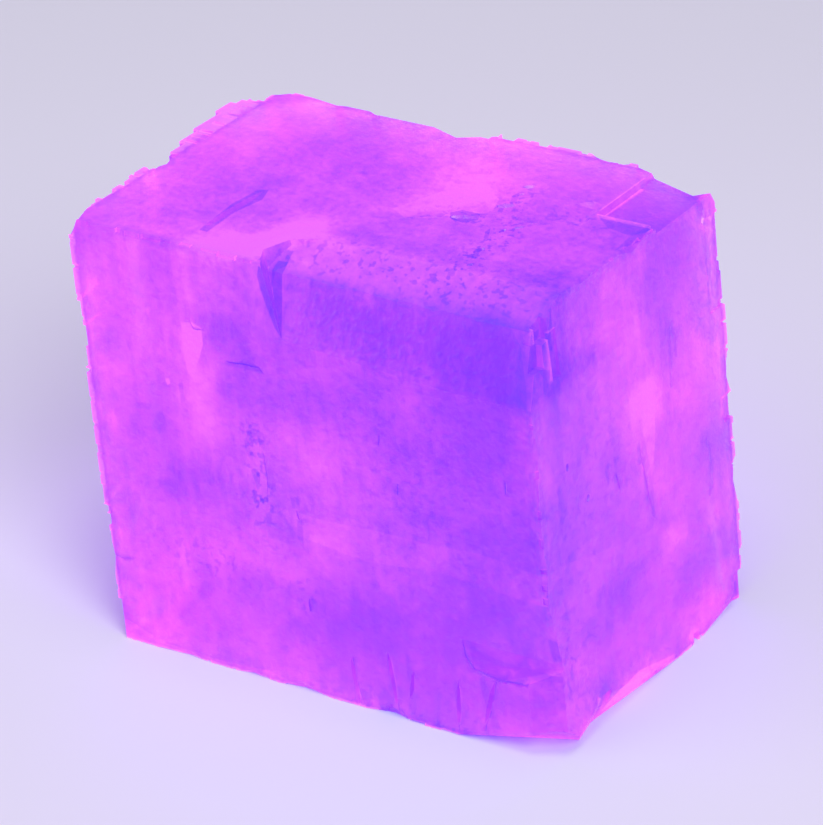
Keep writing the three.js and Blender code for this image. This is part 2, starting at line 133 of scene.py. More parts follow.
class Graph:
    """A node tree that is built by one method."""

    def __init__(self, tree: bpy.types.NodeTree) -> None:
        """Empties a tree so that it can be built.

        Args:
            tree: The tree of a material, a world or a geometry group.
        """
        self.tree = tree
        tree.nodes.clear()

    def node(
        self,
        kind: str,
        settings: dict[str, Any] | None = None,
        values: dict[str | int, Any] | None = None,
    ) -> bpy.types.Node:
        """Adds one node.

        Args:
            kind: The node's type.
            settings: Properties that are set first; "stops" is a ramp's list of place and colour.
            values: Values or wires of its input sockets, by name or number.

        Returns:
            The node.
        """
        made = self.tree.nodes.new(kind)
        for name, value in (settings or {}).items():
            if name == "stops":
                self.set_stops(made.color_ramp, value)
            else:
                setattr(made, name, value)
        for name, value in (values or {}).items():
            socket = made.inputs[name]
            if isinstance(value, Wire):
                self.tree.links.new(value.socket, socket)
            else:
                socket.default_value = value
        return made

    def out(
        self,
        kind: str,
        settings: dict[str, Any] | None = None,
        values: dict[str | int, Any] | None = None,
        output: str | int = 0,
    ) -> Wire:
        """Adds one node and wraps one of its outputs.

        Args:
            kind: The node's type.
            settings: As for node.
            values: As for node.
            output: The output's name or number.

        Returns:
            The wrapped output.
        """
        return Wire(self, self.node(kind, settings, values).outputs[output])

    def math(self, operation: str, *terms: Any, clamp: bool = False) -> Wire:
        """Adds a Math node.

        Args:
            operation: Its operation.
            terms: Its inputs, as numbers or wires.
            clamp: Whether the result is kept between 0 and 1.

        Returns:
            The result.
        """
        settings = {"operation": operation, "use_clamp": clamp}
        return self.out("ShaderNodeMath", settings, dict(enumerate(terms)))

    def vector(self, operation: str, *terms: Any, output: int = 0) -> Wire:
        """Adds a Vector Math node.

        Args:
            operation: Its operation.
            terms: Its inputs, as triples or wires.
            output: 0 for a vector, 1 for a number.

        Returns:
            The result.
        """
        return self.out("ShaderNodeVectorMath", {"operation": operation}, dict(enumerate(terms)), output)

    def scaled(self, place: Any, factor: Any) -> Wire:
        """A vector made longer or shorter.

        Args:
            place: A triple or a wire.
            factor: A number or a wire.

        Returns:
            The product.
        """
        return self.out("ShaderNodeVectorMath", {"operation": "SCALE"}, {0: place, "Scale": factor})

    def smooth(self, value: Wire, low: float, high: float) -> Wire:
        """A soft step that is 0 at low and 1 at high.

        Args:
            value: What is measured.
            low: Where the result is 0.
            high: Where the result is 1; it may lie under low.

        Returns:
            The step.
        """
        start, end = (0.0, 1.0) if low < high else (1.0, 0.0)
        values = {0: value, 1: min(low, high), 2: max(low, high), 3: start, 4: end}
        return self.out("ShaderNodeMapRange", {"interpolation_type": "SMOOTHSTEP"}, values)

    def noise(self, place: Wire, scale: float, detail: float = 3.0, **more: float) -> Wire:
        """A noise between about 0 and 1.

        Args:
            place: Where it is read.
            scale: Features per unit of place.
            detail: Octaves.
            more: Other sockets, such as Roughness or Distortion.

        Returns:
            The noise.
        """
        values = {"Vector": place, "Scale": scale, "Detail": detail, **more}
        return self.out("ShaderNodeTexNoise", {"noise_dimensions": "3D"}, values)

    def mix(self, share: Wire, first: Any, second: Any) -> Wire:
        """A mix of two colours.

        Args:
            share: 0 for the first, 1 for the second.
            first: A colour or a wire.
            second: A colour or a wire.

        Returns:
            The mixed colour.
        """
        values = {0: share, 6: first, 7: second}
        return self.out("ShaderNodeMix", {"data_type": "RGBA"}, values, 2)

    @staticmethod
    def set_stops(ramp: bpy.types.ColorRamp, stops: Sequence[tuple[float, Colour]]) -> None:
        """Sets a colour ramp's stops.

        Args:
            ramp: The ramp.
            stops: Place and linear colour of each stop, in order.
        """
        while len(ramp.elements) < len(stops):
            ramp.elements.new(1.0)
        for element, (place, colour) in zip(ramp.elements, stops):
            element.position = place
            element.color = (*colour, 1.0)


# ------------------------------------------------------------------ what is baked on the stone
@dataclass(frozen=True)
class Glow:
    """A cloud of painted glow in the stone that shines brighter, or of painted shade where its strength is
    negative.
    """

    centre: Place
    reach: Place
    strength: float


FRONT_GLOWS = (
    Glow((51.0, 0, 22.3), (7.0, 3.0, 2.8), -0.14),
    Glow((56.5, 0, 13.5), (4.5, 2.0, 5.0), -0.13),
    Glow((54.8, 0, 6.8), (3.0, 2.0, 4.0), -0.16),
    Glow((37.0, 0, 3.0), (9.0, 2.0, 2.6), -0.12),
    Glow((11.6, 0, 40.0), (1.8, 2.0, 8.0), 0.12),
    Glow((28.0, 0, 33.5), (6.5, 2.0, 3.0), 0.14),
    Glow((24.0, 0, 14.5), (3.6, 2.0, 3.6), 0.12),
    Glow((8.5, 0, 9.4), (3.0, 2.0, 2.6), 0.12),
    Glow((36.0, -3.0, 30.0), (26.0, 4.0, 24.0), 0.18),
    Glow((15.0, 0, 41.0), (2.0, 6, 6.0), 0.30),
    Glow((16.0, 0, 32.0), (3.2, 6, 5.0), 0.26),
    Glow((6.0, 0, 47.0), (7.0, 6, 9.0), 0.12),
    Glow((7.0, 0, 7.5), (4.4, 6, 7.0), 0.02),
    Glow((18.0, 0, 16.6), (7.0, 6, 2.8), 0.28),
    Glow((30.0, 0, 31.5), (8.0, 6, 4.0), 0.16),
    Glow((27.0, 0, 18.0), (6.0, 6, 4.0), 0.14),
    Glow((5.0, 0, 36.5), (4.6, 6, 4.0), 0.16),
    Glow((12.0, 0, 25.0), (6.0, 6, 3.4), -0.14),
    Glow((24.0, 0, 40.5), (7.0, 6, 4.2), -0.10),
    Glow((45.0, 0, 39.0), (15.0, 6, 10.0), -0.14),
    Glow((53.0, 0, 48.0), (11.0, 6, 6.5), -0.18),
    Glow((36.0, 0, 49.5), (10.0, 6, 4.0), -0.10),
    Glow((54.0, 0, 24.0), (9.0, 6, 13.0), -0.22),
    Glow((47.0, 0, 4.0), (14.0, 4, 4.4), -0.14),
    Glow((37.0, 0, 11.0), (12.0, 6, 6.5), -0.32),
)
TOP_GLOWS = (
    Glow((38.0, 13.2, 54), (5.0, 2.6, 2.0), 0.15),
    Glow((50.5, 15.5, 54), (6.0, 5.0, 2.0), 0.13),
    Glow((22.0, 13.0, 54), (6.0, 3.0, 2.0), 0.13),
    Glow((12.3, 2.0, 54), (3.0, 2.0, 2.0), 0.15),
    Glow((26.0, 16.0, 57.0), (40.0, 30.0, 4.0), 0.11),
    Glow((35.0, 23.0, 54), (5.4, 6.6, 5), 0.44),
    Glow((34.0, 30.0, 54), (6.0, 6.0, 5), 0.22),
    Glow((26.0, 10.5, 54), (3.4, 3.4, 4), 0.34),
    Glow((20.5, 3.6, 54), (6.0, 3.6, 1.6), 0.50),
    Glow((8.0, 5.0, 54), (7.0, 6.0, 4), 0.16),
    Glow((6.0, 24.0, 54), (6.0, 9.0, 5), 0.14),
    Glow((20.0, 28.5, 54), (8.0, 4.6, 5), -0.16),
    Glow((26.0, 22.0, 54), (3.4, 5.0, 5), -0.14),
    Glow((14.0, 13.0, 54), (4.4, 4.4, 5), -0.04),
    Glow((57.0, 32.0, 54), (4.6, 6.0, 3), -0.20),
    Glow((57.0, 7.0, 54), (6.0, 4.0, 3), -0.24),
    Glow((50.0, 3.0, 54), (10.0, 3.0, 3), -0.18),
)
RIGHT_GLOWS = (
    Glow((60.2, 3.0, 36.0), (0.9, 3.6, 10.0), 0.12),
    Glow((60.2, 1.8, 28.0), (0.9, 2.6, 3.4), 0.10),
    Glow((60, 36.5, 38.0), (2.0, 4.0, 7.0), -0.22),
    Glow((60, 31.0, 13.0), (2.0, 4.4, 5.0), -0.18),
    Glow((60, 24.0, 3.0), (2.0, 6.0, 3.0), -0.12),
    Glow((60, 8.5, 6.0), (2.0, 3.6, 3.0), -0.18),
    Glow((63.0, 10.0, 27.0), (3.5, 24.0, 40.0), 0.26),
    Glow((60, 22.0, 34.0), (6, 4.0, 4.4), 0.38),
    Glow((60, 20.5, 44.0), (6, 3.4, 8.0), 0.24),
    Glow((60, 32.0, 32.5), (6, 4.4, 6.0), 0.15),
    Glow((60, 27.0, 25.0), (6, 5.0, 4.0), 0.10),
    Glow((60, 27.0, 3.6), (6, 5.6, 4.6), -0.06),
    Glow((60, 17.0, 1.6), (4, 7.0, 2.0), 0.26),
    Glow((60, 26.6, 15.2), (5, 3.0, 1.3), 0.20),
    Glow((60, 4.0, 46.0), (5, 4.6, 6.0), -0.06),
    Glow((60, 3.0, 28.0), (5, 5.0, 11.0), -0.14),
    Glow((60, 30.0, 47.6), (6, 5.0, 3.6), -0.24),
    Glow((60, 28.0, 37.6), (5, 1.6, 5.0), -0.16),
    Glow((60, 30.0, 9.4), (6, 5.0, 3.0), -0.18),
    Glow((60, 14.0, 14.0), (6, 8.0, 9.0), -0.16),
    Glow((60, 38.0, 22.0), (6, 2.6, 3.0), -0.24),
    Glow((60, 9.0, 4.0), (3, 3.0, 2.4), -0.20),
    Glow((60, 34.0, 25.0), (5, 5.0, 6.0), -0.18),
    Glow((60, 37.0, 8.0), (5, 5.0, 6.0), -0.28),
)
SPECKLED = (  # where the darker specks gather, and how densely
    Glow((30.0, 6.0, 53.2), (5.0, 3.0, 2.0), 0.6),
    Glow((38.0, 6.0, 53.2), (5.0, 3.0, 2.0), 0.6),
    Glow((46.0, 6.0, 53.2), (5.0, 3.0, 2.0), 0.6),
    Glow((54.0, 6.0, 53.2), (5.0, 3.0, 2.0), 0.5),
    Glow((39.7, 19.8, 54), (3.2, 1.6, 2), 0.9),
    Glow((42.4, 26.4, 54), (1.8, 4.0, 2), 0.8),
    Glow((46.0, 17.5, 54), (1.8, 4.4, 2), 1.0),
    Glow((46.2, 10.5, 54), (1.6, 4.0, 2), 0.9),
    Glow((51.0, 25.0, 54), (4.0, 2.4, 2), 0.6),
    Glow((22.4, 0, 31.0), (2.0, 3, 3.0), 0.6),
    Glow((22.6, 0, 24.0), (1.8, 3, 4.4), 1.0),
    Glow((27.7, 0, 12.0), (1.4, 3, 3.0), 0.7),
    Glow((14.0, 0, 14.0), (8.0, 3, 2.4), 0.5),
    Glow((41.0, 0, 2.0), (14.0, 3, 3.0), 0.6),
    Glow((46.0, 0, 34.0), (12.0, 3, 12.0), 0.14),
    Glow((60, 4.0, 10.0), (2, 3.4, 6.0), 0.5),
    Glow((60, 14.0, 2.5), (2, 9.0, 2.6), 0.5),
    Glow((60, 30.0, 9.0), (3, 6.0, 4.0), 0.4),
    Glow((60, 12.0, 28.0), (3, 8.0, 8.0), 0.2),
    Glow((60, 36.0, 44.0), (3, 3.0, 8.0), 0.6),
)


@dataclass(frozen=True)
class Shade:
    """A painted shade: a darker spot on the slanting walls of a pit or a chip.

    Only walls whose normal points along the long edge by at least the share "turned" are darkened.
    """

    middle: Place
    reach: float
    strength: float = -0.45
    turned: float = -1.0


SHADES = (
    # painted shade in the pits on the top
    Shade((39.7, 19.8, 54.0), 2.4),
    Shade((42.2, 24.3, 54.0), 1.6),
    Shade((43.0, 25.7, 54.0), 1.0),
    Shade((42.1, 27.5, 54.0), 1.0),
    Shade((41.8, 29.7, 54.0), 1.2),
    Shade((46.6, 20.1, 54.0), 1.2),
    Shade((45.4, 18.6, 54.0), 1.0),
    Shade((45.8, 13.3, 54.0), 1.2),
    Shade((46.9, 9.9, 54.0), 1.0),
    Shade((15.0, 6.0, 54.0), 2.4, -0.30),
    Shade((15.2, 10.0, 54.0), 2.4, -0.30),
    Shade((15.4, 14.0, 54.0), 2.4, -0.30),
    # painted shade on the wall of the riser
    Shade((26.0, 3.4, 52.8), 3.6, -0.42, 0.5),
    Shade((26.8, 0.6, 49.6), 3.0, -0.42, 0.5),
    Shade((27.4, 0.2, 46.8), 2.4, -0.42, 0.5),
    Shade((37.2, 0.0, 0.9), 1.4),
    Shade((60.0, 5.9, 34.2), 1.0),
    Shade((60.0, 9.4, 28.7), 1.0),
    Shade((60.0, 37.0, 51.0), 1.6, -0.30),
)
# painted shade on the walls of the steps at the back and the left
HIDDEN_STEP_SHADE = -0.34  # how much darker the steps' walls on the back and the left are


class Side(Enum):
    """A lit face of the stone: the axis it lies across, the way it looks, and its two axes."""

    FRONT = (1, -1.0, (0, 2))
    RIGHT = (0, 1.0, (1, 2))
    TOP = (2, 1.0, (0, 1))

    def plane(self) -> float:
        """Where the face lies on the axis it is across."""
        return {Side.FRONT: 0.0, Side.RIGHT: CLEAVAGE.length, Side.TOP: CLEAVAGE.rise}[self]


@dataclass(frozen=True)
class GlowPatch:
    """An area of a face with painted glow or painted shade, brighter or darker than around it: outline in
    millimetres, crisp or with a soft edge.
    """

    side: Side
    strength: float
    soft: float
    outline: tuple[tuple[float, float], ...]

    def inside(self, spots: np.ndarray) -> np.ndarray:
        """Whether spots lie in the outline.

        Args:
            spots: Pairs of the face's two measures.

        Returns:
            True or False for each.
        """
        across, upward = spots.T
        result = np.zeros(len(spots), dtype=bool)
        for (x0, y0), (x1, y1) in self.sides():
            if y0 != y1:
                between = (y0 > upward) != (y1 > upward)
                result ^= between & (across < (x1 - x0) * (upward - y0) / (y1 - y0) + x0)
        return result

    def sides(self) -> list[tuple[tuple[float, float], tuple[float, float]]]:
        """The straight sides of the outline."""
        return list(zip(self.outline, self.outline[1:] + self.outline[:1]))

    def depth(self, spots: np.ndarray) -> np.ndarray:
        """How far spots lie inside the outline, or outside it as a negative distance.

        Args:
            spots: Pairs of the face's two measures.

        Returns:
            The distances in millimetres.
        """
        nearest = np.full(len(spots), np.inf)
        for start, end in self.sides():
            run = np.subtract(end, start)
            share = np.clip((spots - start) @ run / (run @ run), 0.0, 1.0)
            gap = spots - start - share[:, None] * run
            nearest = np.minimum(nearest, np.hypot(gap[:, 0], gap[:, 1]))
        return np.where(self.inside(spots), nearest, -nearest)


def patches(side: Side, *rows: tuple[float, float, tuple[tuple[float, float], ...]]) -> tuple[GlowPatch, ...]:
    """The patches of one side.

    Args:
        side: The side.
        rows: Strength, softness and outline of each patch.

    Returns:
        The patches.
    """
    return tuple(GlowPatch(side, *row) for row in rows)


FRONT_GLOW_PATCHES = patches(
    Side.FRONT,
    # painted shade on the riser's wedge
    (-0.36, 0.0, (
        (25.5, 52.2), (25.8, 53.6), (26.8, 53.0), (27.2, 50.0), (27.9, 45.2), (27.1, 46.4), (26.3, 48.8),
        (25.8, 50.6),
    )),
    (0.40, 0.0, (
        (14.1, 44.1), (15.7, 44.4), (16.9, 44.0), (16.9, 41.9), (15.7, 39.2), (14.8, 37.3), (14.2, 37.9),
        (14.0, 40.6),
    )),
    (0.20, 1.8, (
        (13.7, 34.9), (15.4, 37.5), (18.0, 40.9), (19.0, 39.9), (17.8, 37.1), (18.5, 34.2), (17.7, 30.2),
        (13.3, 27.9), (12.9, 31.6),
    )),
    (0.02, 1.2, ((17.4, 38.0), (17.6, 47.0), (18.4, 53.8), (27.0, 53.8), (27.6, 38.0))),
    (-0.14, 1.4, (
        (6.3, 31.9), (8.3, 32.5), (9.6, 31.9), (10.2, 30.9), (9.3, 29.4), (7.4, 27.7), (5.0, 27.1),
        (4.7, 28.6), (5.6, 30.5),
    )),
    (-0.06, 0.0, ((27.6, 51.9), (59.9, 51.9), (59.9, 43.8), (27.9, 45.4))),
    (-0.12, 1.6, ((46.6, 51.8), (58.0, 51.4), (60.6, 50.0), (60.6, 43.4), (48.0, 43.6))),
    (-0.08, 0.6, ((52.0, 51.9), (57.4, 51.9), (57.0, 48.0), (56.0, 45.8), (55.4, 48.0), (54.0, 50.4))),
    (0.16, 0.0, ((56.6, 51.8), (58.0, 50.2), (59.2, 46.0), (59.5, 43.8), (60.4, 43.8), (60.4, 51.8))),
    (-0.24, 0.6, ((0.3, 34.5), (1.2, 34.4), (1.6, 33.2), (0.4, 32.4))),
    (-0.12, 1.2, ((1.4, 40.3), (2.9, 40.0), (3.9, 39.0), (3.4, 37.5), (1.6, 36.8), (0.9, 38.3))),
    (-0.18, 0.0, (
        (48.7, 13.1), (49.8, 12.0), (51.0, 11.4), (52.6, 10.9), (54.4, 10.7), (55.6, 11.6), (56.3, 10.6),
        (56.0, 9.3), (54.5, 8.7), (52.5, 8.7), (50.5, 9.3), (49.4, 10.3),
    )),
    (0.10, 0.0, ((51.9, 10.2), (54.0, 10.1), (55.0, 10.2), (54.3, 9.5), (52.7, 9.4))),
    (-0.22, 0.0, ((58.9, 15.2), (59.9, 15.0), (59.9, 12.2), (58.9, 12.0))),
    (-0.18, 0.0, ((56.1, 10.5), (59.9, 10.4), (59.9, 9.6), (56.2, 9.8))),
    (-0.20, 0.0, ((37.7, 8.0), (38.3, 8.1), (38.1, 3.4), (37.6, 3.4))),
    (-0.16, 0.0, ((40.3, 8.7), (40.9, 8.8), (41.1, 1.6), (40.3, 1.3))),
    (-0.20, 0.0, ((46.4, 6.7), (47.0, 7.1), (47.4, 1.8), (46.7, 1.3))),
    (-0.20, 0.0, ((49.9, 8.1), (50.7, 8.9), (52.2, 2.7), (51.2, 2.1))),
    (-0.14, 0.0, ((43.8, 2.8), (44.4, 3.3), (44.3, 0.9), (43.7, 0.7))),
    (-0.30, 0.0, ((36.1, 2.5), (37.2, 3.3), (38.1, 2.3), (37.8, 0.3), (36.0, 0.9))),
    # painted glint: a tiny bright spot
    (0.60, 0.0, ((10.9, 36.3), (11.4, 36.5), (11.6, 35.9), (11.1, 35.5))),
    (-0.16, 0.0, ((12.7, 36.1), (13.3, 36.5), (13.4, 34.0), (12.8, 33.6))),
    (-0.12, 0.0, ((6.0, 32.0), (7.2, 32.5), (8.6, 32.5), (8.4, 31.8), (7.1, 31.6), (6.2, 31.4))),
    (-0.10, 0.0, ((5.2, 30.6), (6.1, 30.7), (5.8, 27.6), (4.9, 26.8), (4.3, 28.0))),
    (-0.12, 0.0, ((9.1, 31.9), (9.9, 31.9), (10.3, 30.7), (9.3, 29.3), (8.5, 30.0))),
    (-0.14, 0.0, ((20.6, 33.4), (21.3, 33.1), (21.3, 32.5), (20.7, 32.8))),
    (-0.15, 0.0, (
        (21.7, 32.2), (22.7, 32.9), (23.8, 32.5), (24.1, 31.7), (23.8, 30.2), (23.2, 30.8), (23.0, 31.9),
        (22.0, 31.4), (21.7, 30.4), (22.3, 29.4), (21.9, 28.4), (21.2, 29.5), (21.1, 30.6),
    )),
    (-0.24, 0.0, ((22.1, 27.7), (22.8, 27.2), (22.6, 25.3), (22.2, 25.0), (21.9, 26.2), (21.5, 27.3))),
    (-0.28, 0.0, ((22.5, 24.3), (23.0, 23.9), (22.9, 23.2), (22.4, 23.5))),
    (-0.16, 0.0, ((23.0, 22.1), (24.0, 22.9), (23.5, 20.5), (22.8, 20.5))),
    (-0.16, 0.0, ((23.6, 26.3), (24.8, 26.4), (24.8, 25.4), (23.9, 24.9))),
    (-0.16, 0.0, ((26.7, 25.1), (27.8, 25.5), (27.9, 23.9), (26.8, 23.8))),
    (-0.18, 0.0, ((27.2, 22.4), (28.0, 22.6), (27.8, 19.4), (27.1, 19.9))),
    (-0.12, 0.0, (
        (19.6, 40.6), (21.8, 40.8), (24.3, 41.0), (24.9, 40.3), (24.3, 40.0), (22.3, 40.2), (19.8, 40.1),
    )),
    (0.12, 0.0, (
        (25.0, 23.4), (31.8, 23.3), (38.6, 23.8), (45.2, 23.9), (51.7, 24.4), (59.9, 23.6), (59.9, 19.8),
        (46.0, 20.6), (36.0, 19.4), (27.0, 20.4),
    )),
    (0.06, 2.0, ((4.0, 12.0), (11.0, 12.4), (12.4, 7.6), (8.0, 1.0), (2.4, 1.0), (1.6, 7.0))),
    (0.16, 0.0, ((0.2, 2.4), (0.9, 2.6), (6.0, 0.9), (14.0, 0.7), (21.0, 1.2), (26.0, 0.2), (0.2, 0.1))),
)
TOP_GLOW_PATCHES = patches(
    Side.TOP,
    # painted shade on the riser's wedge
    (-0.28, 0.0, ((25.5, 0.3), (24.8, 3.6), (25.4, 5.6), (26.5, 5.5), (26.9, 3.5), (26.1, 3.0))),
    (0.44, 1.2, (
        (14.8, 0.2), (25.6, 0.2), (24.9, 3.8), (25.4, 5.7), (28.0, 8.6), (26.4, 11.3), (23.5, 9.3),
        (21.5, 5.4), (18.2, 2.6), (15.0, 0.6),
    )),
    (0.24, 1.2, ((27.5, 3.2), (28.5, 9.4), (44.0, 9.6), (58.0, 8.6), (59.5, 3.2))),
    (0.14, 0.0, (
        (31.2, 18.0), (33.6, 24.4), (37.6, 27.6), (40.6, 25.4), (41.6, 22.4), (40.0, 20.6), (37.6, 18.6),
        (34.0, 16.6),
    )),
    (-0.32, 0.0, (
        (15.0, 3.9), (14.2, 11.1), (14.6, 15.5), (15.7, 16.0), (16.6, 13.5), (15.8, 9.5), (16.1, 3.9),
    )),
    (-0.24, 0.0, ((52.4, 26.9), (54.9, 26.4), (59.9, 26.8), (59.9, 25.4), (58.7, 23.8), (55.5, 24.4))),
    (-0.18, 0.0, ((52.5, 27.2), (59.9, 26.9), (59.9, 36.0), (58.0, 39.8), (52.7, 39.8))),
    # painted highlight on the riser of the ledge
    (0.40, 0.0, ((52.2, 27.8), (52.7, 28.4), (52.9, 37.8), (52.2, 37.4))),
    (-0.34, 0.0, ((37.6, 20.0), (38.4, 21.2), (40.8, 21.2), (41.4, 19.8), (40.3, 18.4), (38.5, 18.7))),
    (-0.24, 0.0, ((41.4, 26.8), (41.6, 28.1), (42.8, 25.5), (42.4, 24.8))),
    (-0.24, 0.0, ((41.5, 24.2), (41.8, 25.0), (42.8, 22.5), (42.2, 22.5))),
    (-0.24, 0.0, ((43.8, 17.6), (43.8, 18.7), (45.0, 16.4), (44.8, 15.7))),
    (-0.24, 0.0, ((45.3, 13.2), (45.6, 13.9), (46.7, 11.6), (46.2, 11.1))),
    (-0.20, 0.0, ((45.4, 7.9), (46.0, 8.5), (46.6, 7.2), (45.8, 6.9))),
    (-0.18, 0.0, ((59.2, 19.5), (59.9, 24.2), (59.9, 26.9), (58.8, 25.8), (58.8, 23.2))),
)
RIGHT_GLOW_PATCHES = patches(
    Side.RIGHT,
    (0.07, 0.0, ((-0.5, 21.0), (-0.5, 46.6), (2.6, 45.4), (4.4, 38.0), (3.6, 30.0), (2.8, 22.4))),
    (-0.16, 0.0, ((36.9, 53.0), (37.4, 51.1), (36.4, 50.5), (35.8, 50.3), (35.9, 51.6))),
    (-0.12, 0.0, ((36.2, 49.7), (37.8, 49.2), (38.6, 44.6), (38.4, 41.1), (37.0, 43.7))),
    (-0.10, 0.0, ((36.5, 40.8), (38.0, 40.2), (38.0, 35.0), (37.1, 34.8))),
    (-0.12, 0.8, (
        (3.5, 44.3), (5.9, 44.1), (9.1, 44.4), (12.0, 43.7), (15.0, 43.3), (14.2, 44.4), (10.6, 46.2),
        (7.9, 47.2), (6.4, 46.3),
    )),
    (-0.20, 0.0, ((5.8, 53.2), (6.0, 48.0), (4.4, 49.3), (4.9, 50.6))),
    (-0.14, 0.0, ((2.3, 51.2), (4.2, 51.2), (4.8, 51.1), (3.9, 49.9), (3.1, 49.4))),
    (-0.14, 0.0, ((1.9, 47.9), (4.1, 46.9), (4.2, 46.1), (3.1, 44.3), (2.6, 44.6), (2.9, 46.4))),
    (-0.12, 0.0, (
        (25.9, 50.9), (29.0, 48.1), (33.6, 46.5), (35.9, 47.3), (35.7, 49.1), (34.3, 51.7), (30.3, 53.1),
        (27.0, 52.4),
    )),
    (0.26, 1.6, (
        (21.5, 36.9), (23.6, 36.6), (25.4, 33.8), (25.1, 32.1), (22.9, 31.3), (21.1, 33.8), (18.8, 35.7),
    )),
    (0.18, 0.0, ((21.2, 31.5), (22.4, 24.8), (23.4, 28.0), (24.2, 33.0))),
    (0.16, 0.5, ((22.3, 18.5), (27.5, 16.1), (29.4, 14.0), (27.1, 13.7), (24.2, 16.2))),
    (0.12, 0.8, (
        (30.5, 4.8), (33.0, 6.5), (34.8, 2.5), (36.0, 1.0), (29.0, 1.4), (25.7, 2.1), (22.5, 3.6),
        (26.1, 5.8),
    )),
    (0.30, 0.0, ((24.4, 1.0), (16.9, 2.9), (12.8, 2.7), (10.2, 0.8), (16.0, 0.1), (24.0, 0.1))),
    (-0.24, 0.0, ((8.6, 4.9), (10.0, 5.3), (10.4, 2.6), (9.2, 1.6), (8.0, 3.0))),
    (0.08, 0.0, (
        (0.3, 23.5), (3.3, 23.4), (10.9, 21.2), (19.1, 19.1), (22.3, 18.5), (24.0, 16.4), (10.0, 17.0),
        (0.3, 18.0),
    )),
)
GLOW_PATCHES = FRONT_GLOW_PATCHES + TOP_GLOW_PATCHES + RIGHT_GLOW_PATCHES


def soft_step(values: np.ndarray, low: float, high: float) -> np.ndarray:
    """A soft step that is 0 at low and 1 at high.

    Args:
        values: What is measured.
        low: Where the result is 0.
        high: Where the result is 1; it may lie under low.

    Returns:
        The step for each value.
    """
    share = np.clip((values - low) / (high - low), 0.0, 1.0)
    return share * share * (3.0 - 2.0 * share)


@dataclass(frozen=True)
class Zone:
    """A part of the stone where something fades in.

    Each pair holds the measure at which it is 0 and the one at which it is full; the first may be the
    larger. Where "middle" is given, along counts from there both ways. Lean is along less back.
    """

    along: tuple[float, float] | None = None
    back: tuple[float, float] | None = None
    up: tuple[float, float] | None = None
    lean: tuple[float, float] | None = None
    middle: float | None = None
    share: float = 1.0

    def at(self, places: np.ndarray) -> np.ndarray:
        """How much each place belongs to the zone.

        Args:
            places: Places in cleavage millimetres.

        Returns:
            0 outside, up to the zone's share inside.
        """
        along, back, up = places.T
        beside = along if self.middle is None else np.abs(along - self.middle)
        result = np.full(len(places), self.share)
        limited = ((self.up, up), (self.back, back), (self.along, beside), (self.lean, along - back))
        for limits, measure in limited:
            if limits:
                result = result * soft_step(measure, *limits)
        return result


CHIPPED = Zone(along=(57.0, 58.2), back=(9.0, 6.5), up=(42.0, 44.5))  # top of the front right edge
ROUGH = (
    CHIPPED,
    Zone(along=(24.0, 25.6), back=(9.6, 7.4), up=(51.0, 52.0)),  # the band above the broken facet
    Zone(lean=(-31.0, -35.0), up=(22.0, 30.0)),  # the upright back left corner
    Zone(along=(26.0, 32.0), up=(3.6, 0.8), share=0.6),  # the foot of the front
    Zone(along=(3.0, 1.8), back=(7.5, 6.0), up=(44.0, 46.0), middle=26.4),  # the wall left of the facet
)


